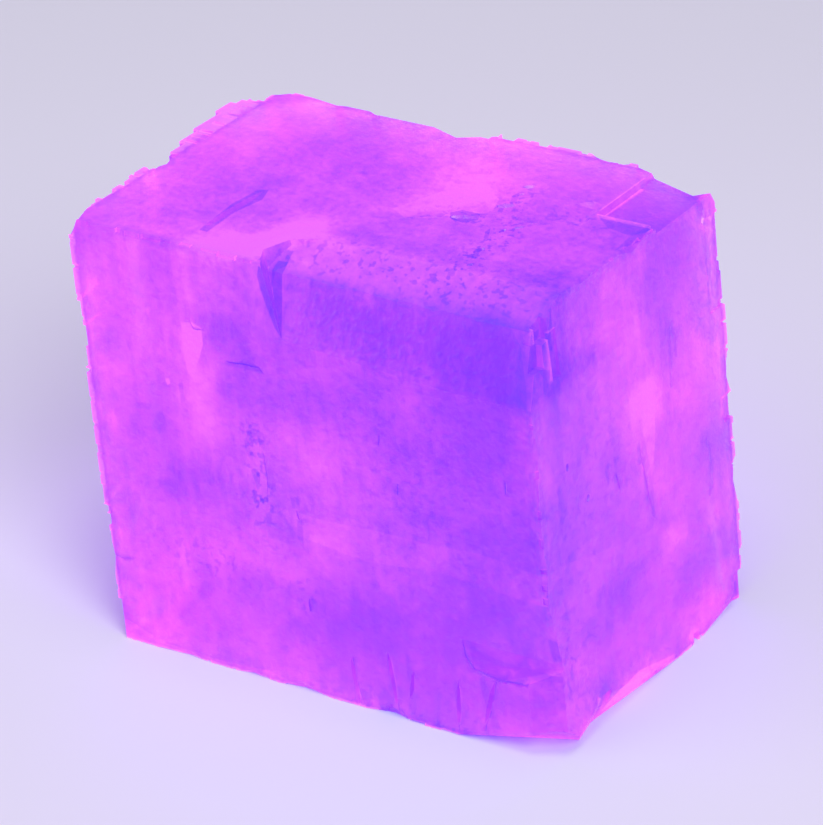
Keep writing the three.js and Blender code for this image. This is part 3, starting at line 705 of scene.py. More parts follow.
@dataclass(frozen=True)
class GlowShadeAndSpecks:
    """The stone's painted glow and shade, its specks, rough parts and rims, kept on the mesh as one number
    per point.
    """

    glows: tuple[Glow, ...] = FRONT_GLOWS + TOP_GLOWS + RIGHT_GLOWS
    base: float = 0.50
    plain_specks: float = 0.20
    warp: float = 1.5
    warp_scale: float = 0.15
    warp_seed: int = 8
    cloud_scale: float = 0.10
    cloud_share: float = 0.15
    mottle_scale: float = 0.42
    mottle_share: float = 0.12
    streak_scale: Place = (0.70, 0.70, 0.084)
    streak_share: float = 0.06
    octave_fade: float = 0.8
    octave_step: float = 2.1
    patch_depth: tuple[float, float] = (9.0, 6.0)
    # painted shade: how much darker the glow is on the walls of the cracks
    crack_glow_shade: float = 0.12
    # painted shade: a deeper see-through tint at edges, corners, rough parts, chips and cracks
    edge_shade_limits: tuple[float, float] = (1.4, 0.3)
    corner_shade_limits: tuple[float, float] = (8.0, 4.5)
    rough_shade: float = 0.5
    chip_shade: float = 0.8
    crack_tint_shade: float = 0.6
    hidden_rim: float = 1.5
    inner_edge: float = 2.0

    def bake(self, mesh: bpy.types.Mesh, cracked: np.ndarray) -> None:
        """Writes the attributes that the finish reads.

        Args:
            mesh: The block's mesh, fine enough to carry the clouds.
            cracked: For each vertex, whether it lies on the wall of a crack.
        """
        places = self.places(mesh)
        rough = np.max([zone.at(places) for zone in ROUGH], axis=0)
        break_shades = (rough * self.rough_shade, CHIPPED.at(places) * self.chip_shade, cracked * self.crack_tint_shade)
        specks = sum(self.cloud(places, zone) for zone in SPECKLED) + self.plain_specks
        self.write(mesh, "rough", rough)
        self.write(mesh, "glow", self.brightness(places) - self.crack_glow_shade * cracked)
        # painted shade: the see-through tint deepens at edges, corners, rough parts, chips and cracks
        self.write(mesh, "edge_shade", np.max((self.edge_and_corner_shade(places), *break_shades), axis=0))
        self.write(mesh, "specks", np.minimum(specks, 1.0))
        # painted highlight: distance to the outer edges, where the bright rim is painted
        self.write(mesh, "rim_highlight", self.rim_distance(places))

    @staticmethod
    def places(mesh: bpy.types.Mesh) -> np.ndarray:
        """Where each vertex lies along the three cleavage edges, in millimetres."""
        flat = np.empty(len(mesh.vertices) * 3)
        mesh.vertices.foreach_get("co", flat)
        back = np.array(CLEAVAGE.to_frame().inverted())
        return flat.reshape(-1, 3) @ back[:3, :3].T + back[:3, 3]

    @staticmethod
    def write(mesh: bpy.types.Mesh, name: str, values: np.ndarray) -> None:
        """Keeps one number per vertex.

        Args:
            mesh: The mesh.
            name: The attribute's name.
            values: The numbers.
        """
        mesh.attributes.new(name, "FLOAT", "POINT").data.foreach_set("value", values.astype(np.float32))

    def brightness(self, places: np.ndarray) -> np.ndarray:
        """How brightly the painted glow shines at each place.

        Args:
            places: Places in cleavage millimetres.

        Returns:
            Numbers for the finish's colour ramp.
        """
        total = np.full(len(places), self.base)
        total += self.cloud_share * self.noise(places * self.cloud_scale, 4)
        total += self.mottle_share * self.noise(places * self.mottle_scale, 3)
        total += self.streak_share * self.noise(places * self.streak_scale, 3)
        noise.seed_set(self.warp_seed)
        shift = [noise.noise_vector(Vector(place)) for place in places * self.warp_scale]
        bent = places + np.array(shift) * self.warp
        for glow in self.glows:
            total += self.cloud(bent, glow)
        for patch in (patch for patch in GLOW_PATCHES if patch.soft):
            axis, _, spans = patch.side.value
            near = soft_step(np.abs(places[:, axis] - patch.side.plane()), *self.patch_depth)
            step = soft_step(patch.depth(places[:, spans]), -patch.soft, patch.soft)
            total += patch.strength * near * step
        return total

    @staticmethod
    def cloud(places: np.ndarray, glow: Glow) -> np.ndarray:
        """What one cloud adds at each place.

        Args:
            places: Places in cleavage millimetres.
            glow: The cloud.

        Returns:
            The added numbers.
        """
        away = (((places - glow.centre) / glow.reach) ** 2).sum(axis=1)
        return glow.strength * np.exp(-away)

    def noise(self, places: np.ndarray, octaves: int) -> np.ndarray:
        """A cloudy noise of about -1 to 1.

        Args:
            places: Where it is read.
            octaves: How many sizes of cloud are added up.

        Returns:
            The noise at each place.
        """
        fade, step = self.octave_fade, self.octave_step
        return np.array([noise.fractal(Vector(place), fade, step, octaves) for place in places])

    def edge_and_corner_shade(self, places: np.ndarray) -> np.ndarray:
        """How much painted shade each place gets for lying at a sharp edge or corner.

        Args:
            places: Places in cleavage millimetres.

        Returns:
            0 inside the faces, 1 on an edge or a corner.
        """
        gaps = np.sort(np.maximum(np.minimum(places, np.array(CLEAVAGE.size()) - places), 0.0), axis=1)
        corner = soft_step(gaps.sum(axis=1), *self.corner_shade_limits)
        return np.maximum(soft_step(gaps[:, 1], *self.edge_shade_limits), corner)

    def rim_distance(self, places: np.ndarray) -> np.ndarray:
        """How far each place is from the nearest outer edge, where the painted rim highlight lies.

        Args:
            places: Places in cleavage millimetres.

        Returns:
            Distances in millimetres; the edges between the front, the right and the top don't count.
        """
        along, back, up = places.T
        left, rear = np.maximum(along, 0), np.maximum(CLEAVAGE.depth - back, 0)
        sides = np.minimum(left, np.abs(CLEAVAGE.length - along))
        ends = np.minimum(rear, np.abs(back))
        levels = np.minimum(up, np.abs(CLEAVAGE.rise - up))
        edge = np.sort((sides, ends, levels), axis=0)[1]
        outer = np.minimum(np.minimum(left, rear), up) < self.hidden_rim
        return np.where(outer, edge, np.maximum(edge, self.inner_edge))


# ------------------------------------------------------------------ finishes
@dataclass(frozen=True)
class GlowingCalcite:
    """Clear to hazy calcite with a painted pink to violet glow, darker specks, painted highlights on its
    rims and painted shade at its edges.
    """

    name: str = "glowing_calcite"
    ior: float = 1.60
    # strength of the painted glow, an emission though the stone is no lamp
    shine: float = 0.80
    absorption: Colour = (0.72, 0.20, 0.92)
    density: float = 150.0
    tint: Colour = (0.98, 0.86, 1.0)
    # colours of the painted glow, from deep violet to bright pink
    ramp: tuple[tuple[float, Colour], ...] = (
        (0.00, (0.128, 0.028, 0.66)),
        (0.30, (0.272, 0.040, 0.78)),
        (0.55, (0.496, 0.068, 0.82)),
        (0.80, (0.740, 0.106, 0.84)),
        (1.00, (0.920, 0.158, 0.88)),
    )
    # painted highlight: the colour of the bright rims
    rim_highlight: Colour = (0.95, 0.28, 0.95)
    rim_highlight_share: float = 0.55
    rim_highlight_limits: tuple[float, float] = (0.45, 0.15)
    rim_highlight_waver: float = 0.6
    # painted shade: the deeper see-through tint at edges, corners, chips and cracks
    edge_shade_tint: Colour = (0.32, 0.07, 0.46)
    grain_scale: float = 1.2
    grain_share: float = 0.40
    streak_scale: float = 1.3
    streak_stretch: float = 0.9
    streak_share: float = 0.25
    dot_scale: float = 1.1
    dot_limits: tuple[float, float] = (0.55, 0.64)
    dot_share: float = 0.36
    dot_height: float = 0.2 * MM
    dot_bump: float = 0.5
    smooth_roughness: float = 0.24
    grain_roughness: float = 0.2
    break_roughness: float = 0.35

    def material(self) -> bpy.types.Material:
        """Builds the finish.

        Returns:
            The material.
        """
        made = bpy.data.materials.new(self.name)
        made.use_nodes = True
        made.cycles.emission_sampling = "NONE"  # the glow lights only what its own rays meet
        graph = Graph(made.node_tree)
        point = graph.out("ShaderNodeTexCoord", output="Object")
        place = graph.scaled(point, 1 / MM)
        grain = graph.noise(place, self.grain_scale, 3.0, Roughness=0.6)
        rising = tuple(CLEAVAGE.axes()[2])
        height = graph.vector("DOT_PRODUCT", place, rising, output=1)
        drawn_out = graph.vector("ADD", place, graph.scaled(rising, height * -self.streak_stretch))
        streaks = graph.noise(drawn_out, self.streak_scale, 2.0)
        dots = graph.noise(place, self.dot_scale, 1.0, Roughness=0.7)
        specks = graph.smooth(dots, *self.dot_limits) * self.baked(graph, "specks")
        # painted glow: the baked clouds with grain and streaks, less the darker specks
        glow = self.baked(graph, "glow") + (grain - 0.5) * self.grain_share
        glow = glow + (streaks - 0.5) * self.streak_share - specks * self.dot_share
        # painted light and shade kept per face: patches, shaded walls and fissure walls
        glow = glow + self.baked(graph, "cut")
        ramp = graph.out("ShaderNodeValToRGB", {"stops": self.ramp}, {"Fac": glow})
        # painted highlight near the outer edges, wavering with the grain
        rim_highlight = graph.smooth(self.baked(graph, "rim_highlight") + (grain - 0.5) * self.rim_highlight_waver, *self.rim_highlight_limits)
        bumps = {"Height": dots, "Strength": self.dot_bump, "Distance": self.dot_height}
        # painted shade: the see-through tint deepens at edges, corners, chips and cracks
        tint = graph.mix(self.baked(graph, "edge_shade"), (*self.tint, 1.0), (*self.edge_shade_tint, 1.0))
        even = self.smooth_roughness + grain * self.grain_roughness
        broken = self.baked(graph, "rough") * self.break_roughness
        surface = graph.node(
            "ShaderNodeBsdfPrincipled",
            {},
            {
                "Base Color": tint,
                "Roughness": graph.math("ADD", broken, even, clamp=True),
                "IOR": self.ior,
                "Transmission Weight": 1.0,
                "Emission Color": graph.mix(rim_highlight * self.rim_highlight_share, ramp, (*self.rim_highlight, 1.0)),
                "Emission Strength": self.shine,
                "Normal": graph.out("ShaderNodeBump", {}, bumps),
            },
        )
        values = {"Color": (*self.absorption, 1.0), "Density": self.density}
        volume = graph.node("ShaderNodeVolumeAbsorption", {}, values)
        output = graph.node("ShaderNodeOutputMaterial")
        graph.tree.links.new(surface.outputs[0], output.inputs["Surface"])
        graph.tree.links.new(volume.outputs[0], output.inputs["Volume"])
        return made

    @staticmethod
    def baked(graph: Graph, name: str) -> Wire:
        """Reads a number that is kept on the mesh."""
        return graph.out("ShaderNodeAttribute", {"attribute_name": name}, {}, "Fac")


@dataclass(frozen=True)
class PaleFloor:
    """A plain matt floor in a pale lavender grey."""

    name: str = "pale_floor"
    colour: Colour = (0.74, 0.72, 0.84)
    roughness: float = 0.75

    def material(self) -> bpy.types.Material:
        """Builds the finish."""
        made = bpy.data.materials.new(self.name)
        made.use_nodes = True
        graph = Graph(made.node_tree)
        values = {"Base Color": (*self.colour, 1.0), "Roughness": self.roughness}
        surface = graph.node("ShaderNodeBsdfPrincipled", {}, values)
        output = graph.node("ShaderNodeOutputMaterial")
        graph.tree.links.new(surface.outputs[0], output.inputs["Surface"])
        return made


# ------------------------------------------------------------------ geometry nodes
class Mark(Enum):
    """What a cut leaves behind: the material slot of its walls and the change in their glow, painted shade
    on the walls of the fissures.
    """

    CLEAN = 0
    NICK = 1
    FISSURE = 2

    def shift(self) -> float:
        """How much brighter or darker the walls of the cut shine; the fissures' walls get painted shade."""
        return {Mark.CLEAN: 0.0, Mark.NICK: 0.0, Mark.FISSURE: -0.16}[self]


def wire_object(name: str, chains: Sequence[Sequence[Place]]) -> bpy.types.Object:
    """Makes a mesh of edges.

    Args:
        name: The object's name.
        chains: The points of each chain, in cleavage millimetres.

    Returns:
        The object, linked to the scene.
    """
    points, edges = [], []
    for chain in chains:
        first = len(points)
        points.extend(chain)
        edges.extend((first + index, first + index + 1) for index in range(len(chain) - 1))
    mesh = bpy.data.meshes.new(name)
    mesh.from_pydata(points, edges, [])
    made = bpy.data.objects.new(name, mesh)
    bpy.context.scene.collection.objects.link(made)
    return made


class CutterTree:
    """A geometry node tree with named inputs that turns a wire into closed cutters."""

    SOCKETS = {float: "NodeSocketFloat", int: "NodeSocketInt", tuple: "NodeSocketVector"}

    def __init__(self, name: str, sizes: dict[str, Any]) -> None:
        """Starts a tree.

        Args:
            name: Its name.
            sizes: Its named inputs and their values.
        """
        self.tree = bpy.data.node_groups.new(name, "GeometryNodeTree")
        self.sizes = sizes
        self.graph = Graph(self.tree)
        self.tree.interface.new_socket("Geometry", in_out="INPUT", socket_type="NodeSocketGeometry")
        for title, value in sizes.items():
            kind = self.SOCKETS[type(value)]
            self.tree.interface.new_socket(title, in_out="INPUT", socket_type=kind)
        self.tree.interface.new_socket("Geometry", in_out="OUTPUT", socket_type="NodeSocketGeometry")
        start = self.graph.node("NodeGroupInput")
        self.given = {socket.name: Wire(self.graph, socket) for socket in start.outputs if socket.name}

    def finish(self, shapes: Wire) -> None:
        """Closes the tree.

        Args:
            shapes: The closed shapes, as instances or as a mesh.
        """
        real = self.graph.out("GeometryNodeRealizeInstances", {}, {0: shapes})
        dressed = self.graph.out("GeometryNodeSetMaterial", {}, {"Geometry": real})
        end = self.graph.node("NodeGroupOutput")
        self.tree.links.new(dressed.socket, end.inputs[0])

    def run(self, wire: bpy.types.Object) -> bpy.types.Mesh:
        """Runs the tree on a wire and takes its result to the shared frame.

        Args:
            wire: The object with the wire, which is removed.

        Returns:
            The cutters as one mesh.
        """
        modifier = wire.modifiers.new("cutters", "NODES")
        modifier.node_group = self.tree
        for item in self.tree.interface.items_tree:
            if item.in_out == "INPUT" and item.name in self.sizes:
                modifier[item.identifier] = self.sizes[item.name]
        evaluated = wire.evaluated_get(bpy.context.evaluated_depsgraph_get())
        cutters = bpy.data.meshes.new_from_object(evaluated)
        cutters.transform(CLEAVAGE.to_frame())
        bpy.data.objects.remove(wire)
        return cutters


@dataclass(frozen=True)
class EdgeNicks:
    """Small blocky chips along the bottom edges, each cut on cleavage planes."""

    spacing: float = 1.0
    smallest: Place = (0.08, 0.08, 0.08)
    largest: Place = (0.18, 0.18, 0.18)
    stretch: float = 0.8
    seed: int = 12

    def build(self) -> bpy.types.Mesh:
        """Puts a box at random places along each of the four bottom edges.

        Returns:
            The boxes.
        """
        length, depth, _ = CLEAVAGE.size()
        near_left, near_right = (0.0, 0.0, 0.0), (length, 0.0, 0.0)
        far_left, far_right = (0.0, depth, 0.0), (length, depth, 0.0)
        across = [(near_left, near_right), (near_left, far_left)]
        beyond = [(near_right, far_right), (far_left, far_right)]
        edges = wire_object("edges", across + beyond)
        tree = CutterTree(
            "edge_nicks",
            {
                "Spacing": self.spacing,
                "Smallest": self.smallest,
                "Largest": self.largest,
                "Stretch": self.stretch,
                "Seed": self.seed,
            },
        )
        graph, given = tree.graph, tree.given
        curve = graph.out("GeometryNodeMeshToCurve", {}, {0: given["Geometry"]})
        lengths = {"Curve": curve, "Length": given["Spacing"]}
        points = graph.out("GeometryNodeResampleCurve", {"mode": "LENGTH"}, lengths)
        tangent = graph.out("GeometryNodeInputTangent")
        limits = {2: -0.5, 3: 0.5, "Seed": given["Seed"] + 1}
        shuffle = graph.out("FunctionNodeRandomValue", {"data_type": "FLOAT"}, limits, 1)
        offset = graph.scaled(tangent, shuffle * given["Spacing"])
        placed = graph.out("GeometryNodeSetPosition", {}, {"Geometry": points, "Offset": offset})
        draw = graph.out("FunctionNodeRandomValue", {"data_type": "FLOAT_VECTOR"}, {"Seed": given["Seed"]})
        squared = graph.vector("MULTIPLY", draw, draw)
        reach = graph.vector("SUBTRACT", given["Largest"], given["Smallest"])
        cubed = graph.vector("MULTIPLY", squared, draw)
        size_wire = graph.vector("MULTIPLY_ADD", cubed, reach, given["Smallest"])
        lengthways = graph.scaled(graph.vector("ABSOLUTE", tangent), given["Stretch"])
        longer = graph.vector("MULTIPLY_ADD", lengthways, squared, size_wire)
        box = graph.out("GeometryNodeMeshCube", {}, {"Size": (2.0, 2.0, 2.0)})
        values = {"Points": placed, "Instance": box, "Scale": longer}
        tree.finish(graph.out("GeometryNodeInstanceOnPoints", {}, values))
        return tree.run(edges)


@dataclass(frozen=True)
class Fissure:
    """A fine crack that comes out on a face: its course and the reach of its mouth."""

    course: tuple[Place, ...]
    reach: float = 0.09


def on_front(*points: tuple[float, float]) -> tuple[Place, ...]:
    """Places on the front face from along and up."""
    return tuple((along, 0.0, up) for along, up in points)


def on_right(*points: tuple[float, float]) -> tuple[Place, ...]:
    """Places on the right face from back and up."""
    return tuple((CLEAVAGE.length, back, up) for back, up in points)


def on_top(*points: tuple[float, float]) -> tuple[Place, ...]:
    """Places on the top face from along and back."""
    return tuple((along, back, CLEAVAGE.rise) for along, back in points)


FISSURES = (
    Fissure(on_front((34.0, 0.6), (33.2, 3.0), (33.0, 6.4)), 0.06),
    Fissure(on_front((38.8, 0.8), (38.3, 4.0), (37.8, 8.8)), 0.06),
    Fissure(on_front((40.4, 3.0), (40.9, 5.4), (41.4, 6.8)), 0.05),
    Fissure(on_front((46.6, 0.6), (46.9, 4.0), (47.2, 7.6)), 0.06),
    Fissure(on_front((50.2, 1.6), (51.2, 5.0), (52.3, 8.6)), 0.06),
    Fissure(
        on_front(
            (48.2, 12.8), (48.6, 10.6), (49.6, 9.3), (52.8, 8.7), (56.3, 9.1), (56.9, 11.1), (60.0, 11.4),
        ),
        0.11,
    ),
    Fissure(on_front((15.3, 44.6), (15.8, 43.7), (17.0, 43.9)), 0.12),
    Fissure(on_front((19.9, 40.5), (21.8, 40.7), (24.3, 40.8), (24.8, 40.2)), 0.07),
    Fissure(on_front((0.2, 11.1), (1.6, 10.9), (3.0, 11.2)), 0.08),
    Fissure(on_front((23.6, 30.0), (23.8, 26.6), (23.4, 24.0)), 0.05),
    Fissure(on_front((27.4, 23.6), (27.6, 22.4)), 0.09),
    Fissure(on_front((27.8, 12.6), (27.7, 10.8)), 0.08),
    Fissure(on_front((43.1, 47.3), (43.4, 46.1)), 0.07),
    Fissure(on_front((39.8, 36.3), (39.6, 34.8)), 0.06),
    Fissure(on_front((41.6, 30.5), (41.5, 29.0)), 0.06),
    Fissure(on_front((55.9, 34.4), (55.8, 32.5)), 0.06),
    Fissure(on_front((52.3, 46.9), (52.0, 45.2)), 0.06),
    Fissure(on_right((20.2, 30.0), (20.9, 26.4), (21.4, 23.0), (22.2, 20.0)), 0.07),
    Fissure(on_right((28.6, 41.4), (28.2, 37.4), (27.6, 33.6)), 0.06),
    Fissure(on_right((29.6, 40.0), (29.2, 36.6)), 0.05),
    Fissure(on_right((15.2, 28.8), (15.9, 26.4)), 0.09),
    Fissure(on_right((0.6, 15.2), (1.3, 13.0), (1.0, 11.0)), 0.07),
    Fissure(on_right((34.4, 24.0), (35.0, 19.6), (34.2, 16.4)), 0.05),
    Fissure(on_top((49.0, 28.2), (51.6, 27.0), (52.4, 25.2), (51.8, 23.4)), 0.07),
    Fissure(on_top((33.0, 16.0), (36.0, 18.2), (38.2, 19.0)), 0.06),
    Fissure(on_top((44.0, 22.4), (47.0, 21.6), (49.2, 22.4)), 0.06),
)


@dataclass(frozen=True)
class FissureCuts:
    """The fine cracks, swept along their courses with a wandering, tapering mouth."""

    fissures: tuple[Fissure, ...] = FISSURES
    step: float = 0.35
    wander: float = 0.35
    width: float = 1.7
    sides: int = 5
    bend_scale: float = 0.7
    bead_scale: float = 1.9
    bead_share: float = 1.4
    narrowest: float = 0.3
    blunt: float = 0.02

    def build(self) -> bpy.types.Mesh:
        """Sweeps every fissure.

        Returns:
            The swept shapes.
        """
        wire = wire_object("fissures", [fissure.course for fissure in self.fissures])
        reaches = [fissure.reach * self.width for fissure in self.fissures for _ in fissure.course]
        wire.data.attributes.new("reach", "FLOAT", "POINT").data.foreach_set("value", reaches)
        sizes = {"Step": self.step, "Wander": self.wander, "Sides": self.sides}
        tree = CutterTree("fissures", sizes)
        graph, given = tree.graph, tree.given
        curve = graph.out("GeometryNodeMeshToCurve", {}, {0: given["Geometry"]})
        lengths = {"Curve": curve, "Length": given["Step"]}
        points = graph.out("GeometryNodeResampleCurve", {"mode": "LENGTH"}, lengths)
        place = graph.out("GeometryNodeInputPosition")
        values = {"Vector": place, "Scale": self.bend_scale, "Detail": 3.0}
        wave = graph.out("ShaderNodeTexNoise", {"noise_dimensions": "3D"}, values, "Color")
        offset = graph.scaled(graph.vector("SUBTRACT", wave, (0.5, 0.5, 0.5)), given["Wander"])
        bent = graph.out("GeometryNodeSetPosition", {}, {"Geometry": points, "Offset": offset})
        share = graph.out("GeometryNodeSplineParameter")
        taper = graph.math("SQRT", share * (1.0 - share) * 4.0 + self.blunt)
        reach = graph.out("GeometryNodeInputNamedAttribute", {"data_type": "FLOAT"}, {"Name": "reach"})
        beads = graph.noise(place, self.bead_scale, 2.0) * self.bead_share + self.narrowest
        corners = {"Resolution": given["Sides"], "Radius": 1.0}
        ring = graph.out("GeometryNodeCurvePrimitiveCircle", {}, corners)
        values = {"Curve": bent, "Profile Curve": ring, "Scale": reach * taper * beads, "Fill Caps": True}
        tree.finish(graph.out("GeometryNodeCurveToMesh", {}, values))
        return tree.run(wire)


# ------------------------------------------------------------------ the block
@dataclass
class SparBlock:
    """The block of spar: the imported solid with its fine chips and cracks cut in, as one closed piece."""

    name: str = "spar_block"
    weld: float = 0.0002 * MM
    crease_degrees: float = 24.0
    small_face: float = 4.0
    flat_degrees: float = 0.3
    slice_step: float = 1.0
    slice_start: float = 0.53
    slice_weld: float = 0.0001
    patch_margin: float = 0.8
    side_reach: float = 4.0
    facing: float = 0.3
    slanting: float = 0.985
    step_margin: float = 0.6
    step_reach: float = 3.0
    step_turn: float = 0.5
    nicks: EdgeNicks = field(default_factory=EdgeNicks)
    fissures: FissureCuts = field(default_factory=FissureCuts)
    # the painted glow and shade, specks and roughness baked on the mesh
    inside: GlowShadeAndSpecks = field(default_factory=GlowShadeAndSpecks)
    finish: GlowingCalcite = field(default_factory=GlowingCalcite)

    def build(self) -> bpy.types.Object:
        """Makes, dresses and registers the piece.

        Returns:
            The finished object.
        """
        block = bpy.data.objects.new(self.name, self.welded_copy())
        bpy.context.scene.collection.objects.link(block)
        self.cut(block, self.nicks.build(), Mark.NICK)
        self.cut(block, self.fissures.build(), Mark.FISSURE)
        self.refine(block.data)
        cracked = self.mark_cuts(block.data)
        self.inside.bake(block.data, cracked)
        block.data.materials.clear()
        block.data.materials.append(self.finish.material())
        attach(block, BODY)
        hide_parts(NODE)
        return block

    def welded_copy(self) -> bpy.types.Mesh:
        """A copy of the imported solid's mesh with its loose triangles joined."""
        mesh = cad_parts[NODE].data.copy()
        mesh.name = self.name
        if "custom_normal" in mesh.attributes:
            mesh.attributes.remove(mesh.attributes["custom_normal"])
        bm = bmesh.new()
        bm.from_mesh(mesh)
        bmesh.ops.remove_doubles(bm, verts=bm.verts, dist=self.weld)
        for face in bm.faces:
            face.material_index = Mark.CLEAN.value
        bm.to_mesh(mesh)
        bm.free()
        mesh.materials.clear()
        for mark in Mark:
            mesh.materials.append(bpy.data.materials.new(mark.name.lower()))
        return mesh

    @staticmethod
    def cut(block: bpy.types.Object, cutters: bpy.types.Mesh, mark: Mark) -> None:
        """Cuts a mesh out of the block and keeps the result as the block's plain mesh.

        Args:
            block: The block.
            cutters: Closed shapes to take away.
            mark: What the walls of the cut are marked as.
        """
        cutters.materials.clear()
        for material in block.data.materials:
            cutters.materials.append(material)
        cutters.polygons.foreach_set("material_index", [mark.value] * len(cutters.polygons))
        tool = bpy.data.objects.new("cutters", cutters)
        bpy.context.scene.collection.objects.link(tool)
        modifier = block.modifiers.new("cut", "BOOLEAN")
        modifier.solver = "MANIFOLD"
        modifier.operation = "DIFFERENCE"
        modifier.object = tool
        evaluated = block.evaluated_get(bpy.context.evaluated_depsgraph_get())
        result = bpy.data.meshes.new_from_object(evaluated)
        block.modifiers.remove(modifier)
        block.data = result
        bpy.data.objects.remove(tool)

    def refine(self, mesh: bpy.types.Mesh) -> None:
        """Slices the flat faces finely, so that they can carry the clouds, and marks the creases.

        Args:
            mesh: The block's mesh.
        """
        bm = bmesh.new()
        bm.from_mesh(mesh)
        bm.transform(CLEAVAGE.to_frame().inverted())
        flat = math.radians(self.flat_degrees)
        bmesh.ops.dissolve_limit(bm, angle_limit=flat, verts=bm.verts, edges=bm.edges, delimit={"MATERIAL"})
        limit = math.radians(self.crease_degrees)
        for edge in bm.edges:
            sizes = [face.calc_area() for face in edge.link_faces]
            edge.seam = edge.calc_face_angle(math.pi) > limit or max(sizes) > self.small_face
        for axis, size in enumerate(CLEAVAGE.size()):
            across = Vector(float(axis == index) for index in range(3))
            for step in range(math.ceil(size / self.slice_step)):
                bmesh.ops.bisect_plane(
                    bm,
                    geom=bm.verts[:] + bm.edges[:] + bm.faces[:],
                    plane_co=across * (step + self.slice_start) * self.slice_step,
                    plane_no=across,
                    dist=self.slice_weld,
                )
        self.imprint(bm)
        self.shade_walls(bm)
        for edge in bm.edges:
            edge.smooth = not edge.seam
            edge.seam = False
        for face in bm.faces:
            face.smooth = True
        bm.transform(CLEAVAGE.to_frame())
        bm.to_mesh(mesh)
        bm.free()

    def imprint(self, bm: bmesh.types.BMesh) -> None:
        """Cuts the outlines of the crisp patches of painted glow and shade into the faces and keeps their
        strength there.

        Args:
            bm: The block in cleavage millimetres.
        """
        bm.normal_update()
        bm.faces.layers.float.new("patch")
        for side in Side:
            pool = self.faces_of(bm, side)
            for patch in GLOW_PATCHES:
                if patch.side is side and not patch.soft:
                    pool |= self.imprint_patch(bm, pool, patch)

    def imprint_patch(
        self,
        bm: bmesh.types.BMesh,
        pool: set[bmesh.types.BMFace],
        patch: GlowPatch,
    ) -> set[bmesh.types.BMFace]:
        """Cuts the outline of one crisp patch into the faces and adds its strength inside.

        Args:
            bm: The block in cleavage millimetres.
            pool: The faces of the patch's side.
            patch: The patch.

        Returns:
            The faces around the patch, including the ones that the cuts made.
        """
        layer = bm.faces.layers.float["patch"]
        axis, _, (first, second) = patch.side.value
        low = np.min(patch.outline, axis=0) - self.patch_margin
        high = np.max(patch.outline, axis=0) + self.patch_margin
        local = []
        for face in pool:
            middle = face.calc_center_median()
            if low[0] < middle[first] < high[0] and low[1] < middle[second] < high[1]:
                local.append(face)
        for start, end in patch.sides():
            place, across = Vector((0, 0, 0)), Vector((0, 0, 0))
            place[axis] = patch.side.plane()
            place[first], place[second] = start
            across[first], across[second] = start[1] - end[1], end[0] - start[0]
            edges = {edge for face in local for edge in face.edges}
            verts = {vert for face in local for vert in face.verts}
            parts = bmesh.ops.bisect_plane(
                bm,
                geom=local + list(edges) + list(verts),
                plane_co=place,
                plane_no=across.normalized(),
                dist=self.slice_weld,
            )["geom"]
            local = [part for part in parts if isinstance(part, bmesh.types.BMFace)]
        spots = np.array([[face.calc_center_median()[k] for k in (first, second)] for face in local])
        for face, within in zip(local, patch.inside(spots)):
            if within:
                face[layer] += patch.strength
        return set(local)

    def shade_walls(self, bm: bmesh.types.BMesh) -> None:
        """Paints shade on the slanting walls of the pits and chips, and on the walls of the hidden steps.

        Args:
            bm: The block in cleavage millimetres.
        """
        bm.normal_update()
        layer = bm.faces.layers.float["patch"]
        for face in bm.faces:
            middle = face.calc_center_median()
            if max(abs(part) for part in face.normal) < self.slanting:
                for shade in SHADES:
                    turned = face.normal.x >= shade.turned
                    if turned and (middle - Vector(shade.middle)).length < shade.reach:
                        face[layer] = shade.strength
            if self.is_hidden_step(middle, face.normal):
                face[layer] = HIDDEN_STEP_SHADE

    def is_hidden_step(self, middle: Vector, normal: Vector) -> bool:
        """Whether a face is the wall of a cleavage step on the back or on the left.

        Args:
            middle: The middle of the face, in cleavage millimetres.
            normal: Its normal.

        Returns:
            True for the wall of a step.
        """
        margin = self.step_margin
        inner = [margin < place < size - margin for place, size in zip(middle, CLEAVAGE.size())]
        behind = inner[0] and middle.y > CLEAVAGE.depth - self.step_reach and abs(normal.y) < self.step_turn
        left = inner[1] and middle.x < self.step_reach and abs(normal.x) < self.step_turn
        return inner[2] and (behind or left)

    def faces_of(self, bm: bmesh.types.BMesh, side: Side) -> set[bmesh.types.BMFace]:
        """The faces that belong to one side of the stone.

        Args:
            bm: The block in cleavage millimetres.
            side: The side.

        Returns:
            The faces.
        """
        axis, way, _ = side.value
        found = set()
        for face in bm.faces:
            away = abs(face.calc_center_median()[axis] - side.plane())
            if face.normal[axis] * way > self.facing and away < self.side_reach:
                found.add(face)
        return found

    @staticmethod
    def mark_cuts(mesh: bpy.types.Mesh) -> np.ndarray:
        """Turns the material slots that the cuts left into an attribute of the faces.

        Args:
            mesh: The block's mesh.

        Returns:
            For each vertex, whether it lies on the wall of a crack.
        """
        slots = np.empty(len(mesh.polygons), dtype=np.int32)
        mesh.polygons.foreach_get("material_index", slots)
        shifts = np.array([mark.shift() for mark in Mark], dtype=np.float32)[slots]
        counts = [np.count_nonzero(slots == mark.value) for mark in (Mark.NICK, Mark.FISSURE)]
        LOG.info("faces of nicks %d, of fissures %d", *counts)
        patches = np.empty(len(mesh.polygons), dtype=np.float32)
        mesh.attributes["patch"].data.foreach_get("value", patches)
        mesh.attributes.remove(mesh.attributes["patch"])
        # painted light and shade per face: the patches, the shaded walls and the fissure walls
        mesh.attributes.new("cut", "FLOAT", "FACE").data.foreach_set("value", shifts + patches)
        mesh.polygons.foreach_set("material_index", np.zeros_like(slots))
        cracked = np.zeros(len(mesh.vertices), dtype=bool)
        for face in np.flatnonzero(slots == Mark.FISSURE.value):
            cracked[list(mesh.polygons[face].vertices)] = True
        return cracked


